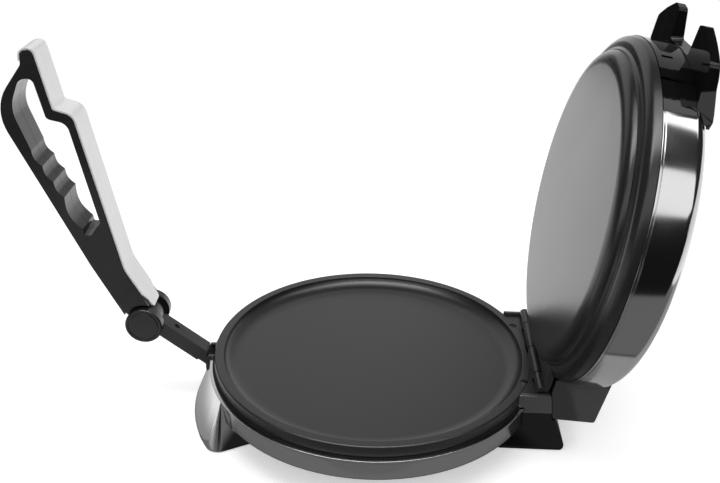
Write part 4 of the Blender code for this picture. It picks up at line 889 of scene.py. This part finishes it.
DISC_LOW = -0.0050
DISC_BACK = -0.0020
DISC_FLAT = 0.1155
DISC_SHOULDER = 0.1285
SHOULDER_RISE = 0.0076
FLANGE_START = 0.1315
FLANGE_R = 0.1423
FLANGE_HIGH = 0.0150
SHELL_LOW = 0.0155
SHELL_HIGH = 0.0393
DOME = 0.0206
DOME_SHARES = (4.4, 0.511)
HORN_INNER = 0.1399
HORN_WALL_HALF = 36.0
HORN_STEP = 0.0017


def dome_run(gap=0.0, steps=40):
    """The dome's outline from the middle down to its straight wall."""
    run = []
    for i in range(steps + 1):
        share = math.sin(math.pi / 2 * i / steps)
        rise = max(1.0 - share ** DOME_SHARES[0], 0.0) ** DOME_SHARES[1]
        run.append((BODY_R * share + (gap if i else 0.0), SHELL_HIGH + DOME * rise + gap))
    return run


def make_dome_room():
    """The room that the dome takes from what sits on it."""
    return turned("room", dome_run(GAP) + [(BODY_R + GAP, 0.0), (0.0, 0.0)])


def make_upper_plate():
    run = DISC_SHOULDER - DISC_FLAT
    shoulder = [
        (DISC_FLAT + run * math.sin(a), SHOULDER_RISE * (1.0 - math.cos(a)) + DISC_LOW)
        for a in (math.radians(90.0 * i / 18) for i in range(18))
    ]
    step = rounded(
        [
            (*shoulder[-1], 0.0),
            (DISC_SHOULDER, 0.0026, 0.0009),
            (DISC_SHOULDER + 0.0012, 0.0030, 0.0009),
            (FLANGE_START, 0.0049, 0.0012),
            (FLANGE_START + 0.0030, 0.0054, 0.0),
        ],
        closed=False,
    )
    flange = flowing([step[-1], (0.1369, 0.0063), (0.1408, 0.0097), (FLANGE_R, FLANGE_HIGH)])
    back = [
        (FLANGE_R - PLATE_WALL, FLANGE_HIGH),
        (FLANGE_START + 0.0049, 0.0091),
        (DISC_SHOULDER - PLATE_WALL, 0.0056),
        (DISC_FLAT - PLATE_WALL, DISC_BACK),
        (0.0, DISC_BACK),
    ]
    plate = turned("plate", [(0.0, DISC_LOW)] + shoulder + step[1:-1] + flange + back)
    tail_low, tail_top = 0.0050, 0.0095
    low, top = tail_low + SINK - HINGE_RISE, tail_top - SINK - HINGE_RISE
    start = TAIL_X - PLATE_WALL - HINGE_X
    before = [(start, low), (start, top), (BARREL_R * 0.2, top)]
    centre = (HINGE_X, HINGE_RISE)
    outline = knuckle_outline(before, (6.0, -186.0), [(-BARREL_R, low)], centre)
    knuckles = make_knuckles("knuckles", ((0.0, SPLIT), (-HINGE_HALF, -SPLIT)), outline, centre)
    join(plate, make_tail(tail_low, tail_top), knuckles)
    show(plate, "lid", "upper_cooking_plate", upper_coat, LID)


def sector(inner, outer, half, steps=60):
    """A piece of a flat ring about the lid's front; half is an angle in degrees."""
    return arc(outer, 180.0 - half, 180.0 + half, steps) + arc(inner, 180.0 + half, 180.0 - half, steps)


def make_lid_shell():
    dome = dome_run()
    hem = SHELL_LOW + 0.0014
    edge = rounded(
        [
            (BODY_R, SHELL_HIGH, 0.0),
            (BODY_R, hem + 0.0009, 0.0002),
            (BODY_R - 0.0004, hem + 0.0006, 0.0001),
            (BODY_R - 0.0004, hem + 0.0003, 0.0001),
            (BODY_R, hem, 0.0002),
            (BODY_R, SHELL_LOW, 0.0003),
            (BODY_R - SHEET, SHELL_LOW, 0.0),
        ],
        closed=False,
    )
    inside = [(max(r - SHEET, 0.0), h - SHEET) for r, h in dome[::-1]]
    shell = turned("shell", dome + edge[1:] + inside)
    outline = sector(HORN_INNER - OVER, BODY_R + OVER, HORN_WALL_HALF)
    cut(shell, slab("opening", [outline], SHELL_LOW - OVER, SHELL_HIGH + HORN_STEP, upright=False))
    show(shell, "lid", "lid_shell", lid_polish, LID, weighted=False)


HORN_REACH = 0.0260
HORN_SPREAD = 0.0750
HORN_BACK_HALF = 37.5
HORN_TOP = 0.0106
HORN_DROP = 0.0037
# Corners of half the crown's outline: forward share of the reach and sideways share of the spread, first on
# the lower face and then on the upper face, and last the corner's round as a share of the reach
HORN_CORNER_SHARES = (
    (0.01, 0.327, 0.085, 0.333, 0.10),
    (0.92, 0.373, 0.938, 0.373, 0.12),
    (1.00, 0.513, 1.003, 0.507, 0.23),
    (0.67, 0.773, 0.698, 0.760, 1.10),
    (0.30, 0.987, 0.302, 1.007, 0.23),
    (-0.45, 1.000, -0.221, 1.073, 0.40),
    (-0.90, 1.040, -1.150, 1.240, 0.08),
)


def horn_section(upper, height):
    half = []
    for low_ahead, low_side, high_ahead, high_side, radius in HORN_CORNER_SHARES:
        ahead, side = (high_ahead, high_side) if upper else (low_ahead, low_side)
        half.append((-BODY_R - ahead * HORN_REACH, side * HORN_SPREAD, radius * HORN_REACH))
    corners = [(x, y, radius) for x, y, radius in half[::-1]] + [(x, -y, radius) for x, y, radius in half]
    back = arc(BODY_R - 0.0067, 180.0 + HORN_BACK_HALF, 180.0 - HORN_BACK_HALF, 24)
    corners += [(x, y, 0.0) for x, y in back]
    return [(x, y, height) for x, y in rounded(corners)]


def make_press_bracket():
    top, drop = SHELL_HIGH + HORN_TOP, HORN_DROP
    crown = loft("crown", [horn_section(False, SHELL_HIGH), horn_section(True, top + drop)])
    inner, outer = BODY_R - HORN_REACH, BODY_R + HORN_REACH * 2
    slope = [(inner, top + drop * 2), (outer, top + drop * 2), (outer, top - drop * 2), (inner, top + drop)]
    cut(crown, turned("slope", slope, closed=True))
    soften(crown, 0.0014, 3, 40.0)
    cut(crown, make_dome_room())
    half = HORN_WALL_HALF - math.degrees(GAP / BODY_R)
    low, high = SHELL_HIGH + HORN_STEP / 3, SHELL_HIGH + HORN_STEP - GAP
    wall = slab("wall", [sector(HORN_INNER, BODY_R, half)], SHELL_LOW, low + 0.0004, upright=False)
    join(wall, slab("root", [sector(HORN_INNER, BODY_R + GAP * 3, half)], low, high, upright=False))
    near, sill, far, head = -0.02975, 0.01975, -0.02625, 0.02825
    cut(wall, block("slot", (-BODY_R - OVER, near, sill), (-HORN_INNER + OVER * 2, far, head)))
    join(crown, wall)
    show(crown, "lid", "lid_press_bracket", gloss_plastic, LID)


def make_rear_cover():
    lead, inside = HINGE_X - COVER_LEAD, BODY_R - 0.0271
    corners = [
        (inside, 0.0120, 0.0),
        (lead, COVER_LOW, 0.0),
        (lead + COVER_RUN, COVER_LOW + COVER_RISE, 0.0008),
        (BODY_R + 0.0222, 0.0208, 0.0008),
        (BODY_R + 0.0188, 0.0542, 0.0020),
        (inside, 0.0576, 0.0),
    ]
    cover = slab("cover", [rounded(corners)], -COVER_HALF, COVER_HALF)
    soften(cover, 0.0008, 3)
    cut(cover, make_dome_room())
    show(cover, "lid", "lid_rear_cover", cover_plastic, LID)


# Press arm, in its own frame: the origin is its pivot, and -X runs up along it to the knuckle

def make_press_arm():
    eye_r, bar_half, foot_r = 0.0125, 0.0065, 0.0050
    under, over = -0.0110, -0.0085
    neck = math.degrees(math.asin(bar_half / eye_r))
    outline = arc(eye_r, neck, 360.0 - neck, MIDDLE, (-ARM_LENGTH, 0.0))
    outline += [(under, -bar_half), (under, -foot_r)] + arc(foot_r, -90.0, 90.0, 24)
    outline += [(over, foot_r), (over, bar_half)]
    arm = slab("arm", [outline], -ARM_HALF, ARM_HALF)
    soften(arm, 0.0008, 3)
    screw_x = 0.0260 - ARM_LENGTH
    wide = ARM_HALF + OVER
    eye = rod("eye", EYE_BORE, -wide, wide, (-ARM_LENGTH, 0.0))
    foot = rod("foot", ARM_BORE, -wide, wide)
    cut(arm, gathered("bores", eye, foot), rod("hole", 0.0025, 0.0015, bar_half + OVER, (screw_x, 0.0), "Z"))
    show(arm, "arm", "press_arm", satin_plastic, ARM)
    place = ARM @ Matrix.Translation((screw_x, 0.0, 0.0057)) @ Matrix.Rotation(0.5, 4, "Z")
    make_screw("arm_screw", "arm", place, head=0.0022, height=0.0009, shank=0.0015, reach=0.0039)


def make_knuckle():
    near, far = 0.0110, 0.0197
    cap_r, groove_in, groove_out = 0.0162, 0.0125, 0.0134
    groove, seat = far - 0.0008, near + 0.0060
    reach = seat - GAP
    pin = rod("pin", EYE_BORE - GAP, -reach, reach, (-ARM_LENGTH, 0.0))
    show(pin, "arm", "knuckle_pin", plain_steel, ARM)
    corners = [
        (0.0, far, 0.0),
        (groove_in, far, 0.0003),
        (groove_in, groove, 0.0),
        (groove_out, groove, 0.0),
        (groove_out, far, 0.0003),
        (cap_r, far, 0.0016),
        (cap_r, near, 0.0003),
        (EYE_BORE, near, 0.0),
        (EYE_BORE, seat, 0.0),
        (0.0, seat, 0.0),
    ]
    for node, side in (("knuckle_cap_near", 1.0), ("knuckle_cap_far", -1.0)):
        cap = turned("cap", rounded(corners, closed=False), 96)
        turn = Matrix.Rotation(side * math.radians(90.0), 4, "X")
        place = Matrix.Translation((-ARM_LENGTH, 0.0, 0.0))
        show(cap, "arm", node, satin_plastic, ARM @ (place @ turn))


# Grip, in its own frame: the origin is the knuckle, +X runs to the tip and +Z away from the lid.
# Corners as shares of the grip's length and depth, and each round as a share of the depth
FACE_SHARES = (
    (0.0540, -0.159, 0.0),
    (0.2140, 0.053, 0.51),
    (0.7704, 0.066, 0.153),
    (0.7992, 0.305, 0.068),
    (0.9984, 0.308, 0.085),
    (0.9960, 0.468, 0.068),
)
BACK_SHARES = (
    (0.9572, 0.514, 0.060),
    (0.838, 1.075, 1.30),
    (0.2500, 0.495, 1.00),
    (0.0380, 0.241, 0.0),
)
HOLE_SHARES = (
    (0.366, 0.437, 0.025),
    (0.359, 0.322, 0.050),
    (0.396, 0.159, 0.068),
    (0.750, 0.163, 0.153),
    (0.776, 0.414, 0.076),
    (0.909, 0.420, 0.085),
    (0.915, 0.602, 0.136),
    (0.830, 0.842, 0.475),
)
SCREW_SHARES = ((0.185, 0.230), (0.325, 0.320), (0.960, 0.390))


def grip_corners(shares):
    return [(x * GRIP_LENGTH, z * GRIP_DEPTH, radius * GRIP_DEPTH) for x, z, radius in shares]


def scallop(start, end, depth, steps=20):
    """One finger groove between two crests, without its end point."""
    start, end = Vector(start), Vector(end)
    way = end - start
    out = Vector((way.y, -way.x)).normalized()
    if out.y < 0.0:
        out = -out
    return [
        tuple(start + way * i / steps + out * depth * math.sin(math.pi * i / steps)) for i in range(steps)
    ]


def hole_outline():
    def spot(along, out):
        return Vector((along * GRIP_LENGTH, out * GRIP_DEPTH))

    near, far, last = spot(0.508, 0.534), spot(0.684, 0.763), spot(0.386, 0.432)
    grooves = []
    for i in range(3):
        grooves += scallop(far.lerp(near, i / 3), far.lerp(near, (i + 1) / 3), 0.0021)
    grooves += scallop(near, last, 0.0042)
    corners = [(x, z, 0.0) for x, z in grooves] + [(*last, 0.0)]
    return rounded(corners + grip_corners(HOLE_SHARES))


def make_cheek(node, side):
    def span(start, end):
        return (start, end) if side > 0.0 else (-end, -start)

    outline = rounded(grip_corners(FACE_SHARES + BACK_SHARES))
    cheek = slab("cheek", [outline, hole_outline()], *span(GAP / 2, GRIP_HALF))
    soften(cheek, 0.0006, 2, 50.0)
    wide = GRIP_HALF + OVER
    inner = [rod("pocket", 0.0142, *span(-OVER, 0.0079), steps=MIDDLE)]
    outer = [rod("recess", 0.0185, *span(0.0107, wide), steps=MIDDLE)]
    for along, out in SCREW_SHARES:
        place = (along * GRIP_LENGTH, out * GRIP_DEPTH)
        inner.append(rod("hole", 0.0016, -0.0083, 0.0093 if side > 0.0 else OVER, place))
        if side > 0.0:
            outer.append(rod("seat", 0.0032, 0.0090, wide, place))
    cut(cheek, gathered("inner", *inner), gathered("outer", *outer))
    lug = [arc(LUG_R, 0.0, 360.0, MIDDLE)[:-1], arc(EYE_BORE, 0.0, 360.0, SMALL)[:-1]]
    join(cheek, slab("lug", lug, *span(0.00805, 0.01055)))
    show(cheek, "handle", node, satin_plastic, GRIP)


def make_strip():
    face = grip_corners(FACE_SHARES)
    start, bend = Vector(face[0][:2]), Vector(face[1][:2])
    face[0] = (*(start - (bend - start).normalized() * 0.0010), 0.0)
    face.append((*Vector(face[-1][:2]).lerp(Vector(grip_corners(BACK_SHARES)[0][:2]), 0.72), 0.0))
    inner = rounded(offset_path(face, GAP), closed=False)
    outer = rounded(offset_path(face, GAP + STRIP_THICK), closed=False)
    half, tongue = GRIP_HALF - 0.0008, 0.0104
    strip = slab("strip", [inner + outer[::-1]], -half, half)
    for side in (-1.0, 1.0):
        corners = [
            (-OVER, 0.0, 0.0),
            (0.0130, 0.0, 0.0),
            (0.0130, side * tongue, 0.0040),
            (0.0200, side * tongue, 0.0040),
            (0.0280, side * half, 0.0020),
            (0.0280, side * (half + OVER), 0.0),
            (-OVER, side * (half + OVER), 0.0),
        ]
        cut(strip, slab("shaper", [rounded(corners)], -GRIP_DEPTH, GRIP_DEPTH / 2, upright=False))
    soften(strip, 0.0004, 2, 50.0)
    show(strip, "handle", "handle_trim", silver, GRIP)


def make_grip_screws():
    for i, (along, out) in enumerate(SCREW_SHARES):
        place = Matrix.Translation((along * GRIP_LENGTH, 0.0115, out * GRIP_DEPTH))
        turn = Matrix.Rotation(math.radians(-90.0), 4, "X") @ Matrix.Rotation(0.4 + i, 4, "Z")
        size = {"head": 0.0029, "height": 0.0022, "shank": 0.0013, "reach": 0.0195}
        make_screw(f"handle_screw_{i + 1}", "handle", GRIP @ place @ turn, **size)


room = make_clearance()
make_lower_plate()
make_ring()
make_front_foot(room)
make_rear_foot(room)
make_rear_housing(room)
bpy.data.objects.remove(room)
make_hinge()
make_bracket()
make_upper_plate()
make_lid_shell()
make_press_bracket()
make_rear_cover()
make_press_arm()
make_knuckle()
make_cheek("handle_near_cheek", -1.0)
make_cheek("handle_far_cheek", 1.0)
make_strip()
make_grip_screws()


# Floor, light and camera

def panel(name, corners, material):
    mesh = bpy.data.meshes.new(name)
    mesh.from_pydata(corners, [], [(0, 1, 2, 3)])
    mesh.materials.append(material)
    made = placed(name, mesh)
    return made


def make_floor():
    """White paper, which shows the object's shadow and is white in its metal too."""
    paper = Finish("floor_paper")
    fibres = paper.noise(60.0, 4.0)
    paper.dress(Base_Color=paper.blend(fibres, grey(0.80), grey(0.84)), Roughness=fibres * 0.1 + 0.85)
    plain = Wire(paper, paper.shader.outputs[0])
    bright = paper.add("Emission", None, {"Color": (1.0, 1.0, 1.0), "Strength": 0.46})
    shown = paper.ray("Is Camera Ray", "Is Glossy Ray", "Is Transmission Ray")
    near = paper.add("AddShader", None, {0: plain, 1: bright})
    white = paper.add("Emission", None, {"Color": (1.0, 1.0, 1.0), "Strength": 1.0})
    spot = paper.add("VectorMath", {"operation": "LENGTH"}, {0: paper.add("TexCoord", output=3)}, output=1)
    backdrop = paper.add("MixShader", None, {0: spot.clear_of(0.5, 1.1), 1: near, 2: white})
    paper.cover(paper.add("MixShader", None, {0: shown, 1: plain, 2: backdrop}))
    panel("floor", [(-6, -6, FLOOR_Z), (6, -6, FLOOR_Z), (6, 6, FLOOR_Z), (-6, 6, FLOOR_Z)], paper.material)


def make_world():
    world = bpy.data.worlds.new("studio")
    bpy.context.scene.world = world
    world.use_nodes = True
    air = Mix(world.node_tree)
    back = world.node_tree.nodes["Background"]
    air.plug(back.inputs["Color"], (1.0, 1.0, 1.0))
    seen = air.ray("Is Camera Ray", "Is Transmission Ray")
    air.plug(back.inputs["Strength"], seen * 0.60 + 0.40 - air.ray("Is Glossy Ray") * 0.37)


def make_lamp(name, place, aim, size, level):
    """A soft panel lamp by its brightness, which is the same at any size."""
    light = bpy.data.lights.new(name, "AREA")
    light.shape = "RECTANGLE"
    light.size, light.size_y = size
    light.energy = level * math.pi * size[0] * size[1]
    lamp = placed(name, light)
    lamp.location = place
    lamp.rotation_euler = (Vector(aim) - Vector(place)).to_track_quat("-Z", "Y").to_euler()


def make_card(name, corners, level, far_level=None, fade=None, under=None):
    """A card that only reflections meet; it may fade along X, and under gives it a painted shadow under the
    base: the card's level within the base's radius.
    """
    paint = Finish(name)
    shade = grey(level)
    spot = paint.add("TexCoord", output=3)
    if fade:
        across = paint.add("SeparateXYZ", None, {0: spot})
        shade = paint.blend(across.clear_of(*fade), grey(level), grey(far_level))
    if under is not None:
        # painted shadow under the base: towards the axis the card goes down to the level under
        flat = paint.add("VectorMath", {"operation": "MULTIPLY"}, {0: spot, 1: (1, 1, 0)})
        away = paint.add("VectorMath", {"operation": "LENGTH"}, {0: flat}, output=1)
        shade = paint.blend(away.clear_of(BODY_R + 0.006, BODY_R + 0.024), grey(under), shade)
    paint.cover(paint.add("Emission", None, {"Color": shade, "Strength": 1.0}))
    card = panel(name, corners, paint.material)
    card.visible_camera = False
    card.visible_diffuse = False
    card.visible_shadow = False
    card.visible_transmission = False


def ground(left, near, right, far, lift=0.0004):
    height = FLOOR_Z + lift
    return [(left, near, height), (right, near, height), (right, far, height), (left, far, height)]


def wall(left, low, right, high, place):
    return [(left, place, low), (right, place, low), (right, place, high), (left, place, high)]


def make_camera():
    azimuth, elevation, roll = math.radians(1.741), math.radians(26.402), math.radians(1.138)
    level = math.cos(elevation)
    back = Vector((math.sin(azimuth) * level, -math.cos(azimuth) * level, math.sin(elevation)))
    right = Vector((math.cos(azimuth), math.sin(azimuth), 0.0))
    up = back.cross(right)
    across = math.cos(roll) * right + math.sin(roll) * up
    upward = -math.sin(roll) * right + math.cos(roll) * up
    view = bpy.data.cameras.new("photo_view")
    view.lens = 47.71
    view.sensor_width = 36.0
    view.sensor_fit = "HORIZONTAL"
    view.clip_start = 0.01
    view.clip_end = 50.0
    camera = placed("photo_view", view)
    turn = Matrix((across, upward, back)).transposed().to_4x4()
    camera.matrix_world = Matrix.Translation((0.00841, -0.71984, 0.47117)) @ turn
    bpy.context.scene.camera = camera


make_floor()
make_world()
make_lamp("overhead", (0.0, -0.25, 1.6), (0.0, -0.25, 0.0), (1.5, 1.0), 3.0)
make_lamp("side", (1.02, 0.0, 1.6), (0.2, 0.0, 0.2), (0.5, 0.75), 2.2)
make_lamp("front", (0.3, -1.5, 1.38), (0.3, 0.0, 1.38), (5.0, 1.20), 1.0)
make_card("top_bright", ground(-0.9, -0.70, 0.55, -0.20, 1.55 - FLOOR_Z), 7.5)
make_card("front_bright", wall(-3.0, 0.77, 3.6, 2.0, -1.46), 1.35)
make_card("front_dark", wall(-0.45, FLOOR_Z, 3.6, 0.77, -1.48), 0.010)
make_card("front_left", wall(-3.0, FLOOR_Z, -0.45, 0.77, -1.48), 0.16)
make_card("floor_dark", ground(-1.0, -1.48, 3.6, -0.52), 0.12, 0.010, (-0.25, 0.05))
make_card("floor_left", ground(-1.4, -0.52, -0.28, -0.172), 0.42)
make_card("floor_near", ground(-0.28, -0.52, 0.60, -0.172), 0.32, 0.19, (-0.28, -0.15))
# painted reflection: a near-black strip between floor_near and floor_right, so the lid shell shows a dark
# line
make_card("floor_reflected_dark_line", ground(0.185, -0.172, 0.60, -0.166), 0.010)
make_card("floor_right", ground(0.185, -0.166, 0.60, 0.05), 0.42)
# the last value of floor_beside and floor_front is the level of their painted shadow under the base
make_card("floor_beside", ground(-0.30, -0.172, 0.185, -0.07), 0.55, 0.22, (-0.19, -0.15), 0.02)
make_card("floor_front", ground(-0.30, -0.07, -0.150, 0.07), 1.35, 0.40, (-0.25, -0.16), 0.03)
# painted shade on the floor under the base
make_card("floor_under", ground(-0.150, -0.07, 0.185, 0.05), 0.16)
make_card("floor_behind", ground(-1.6, 0.16, 0.60, 1.72), 1.35)
make_card("back_dark", wall(-1.5, FLOOR_Z, -0.12, 0.55, 1.75), 0.02)
make_card("back_low", wall(-0.12, 0.02, 3.0, 0.55, 1.75), 1.10)
make_card("back_high", wall(-3.0, 0.55, 3.0, 2.2, 1.75), 0.82, 0.50, (0.0, 0.5))
make_camera()
bpy.context.scene.view_settings.view_transform = "Standard"
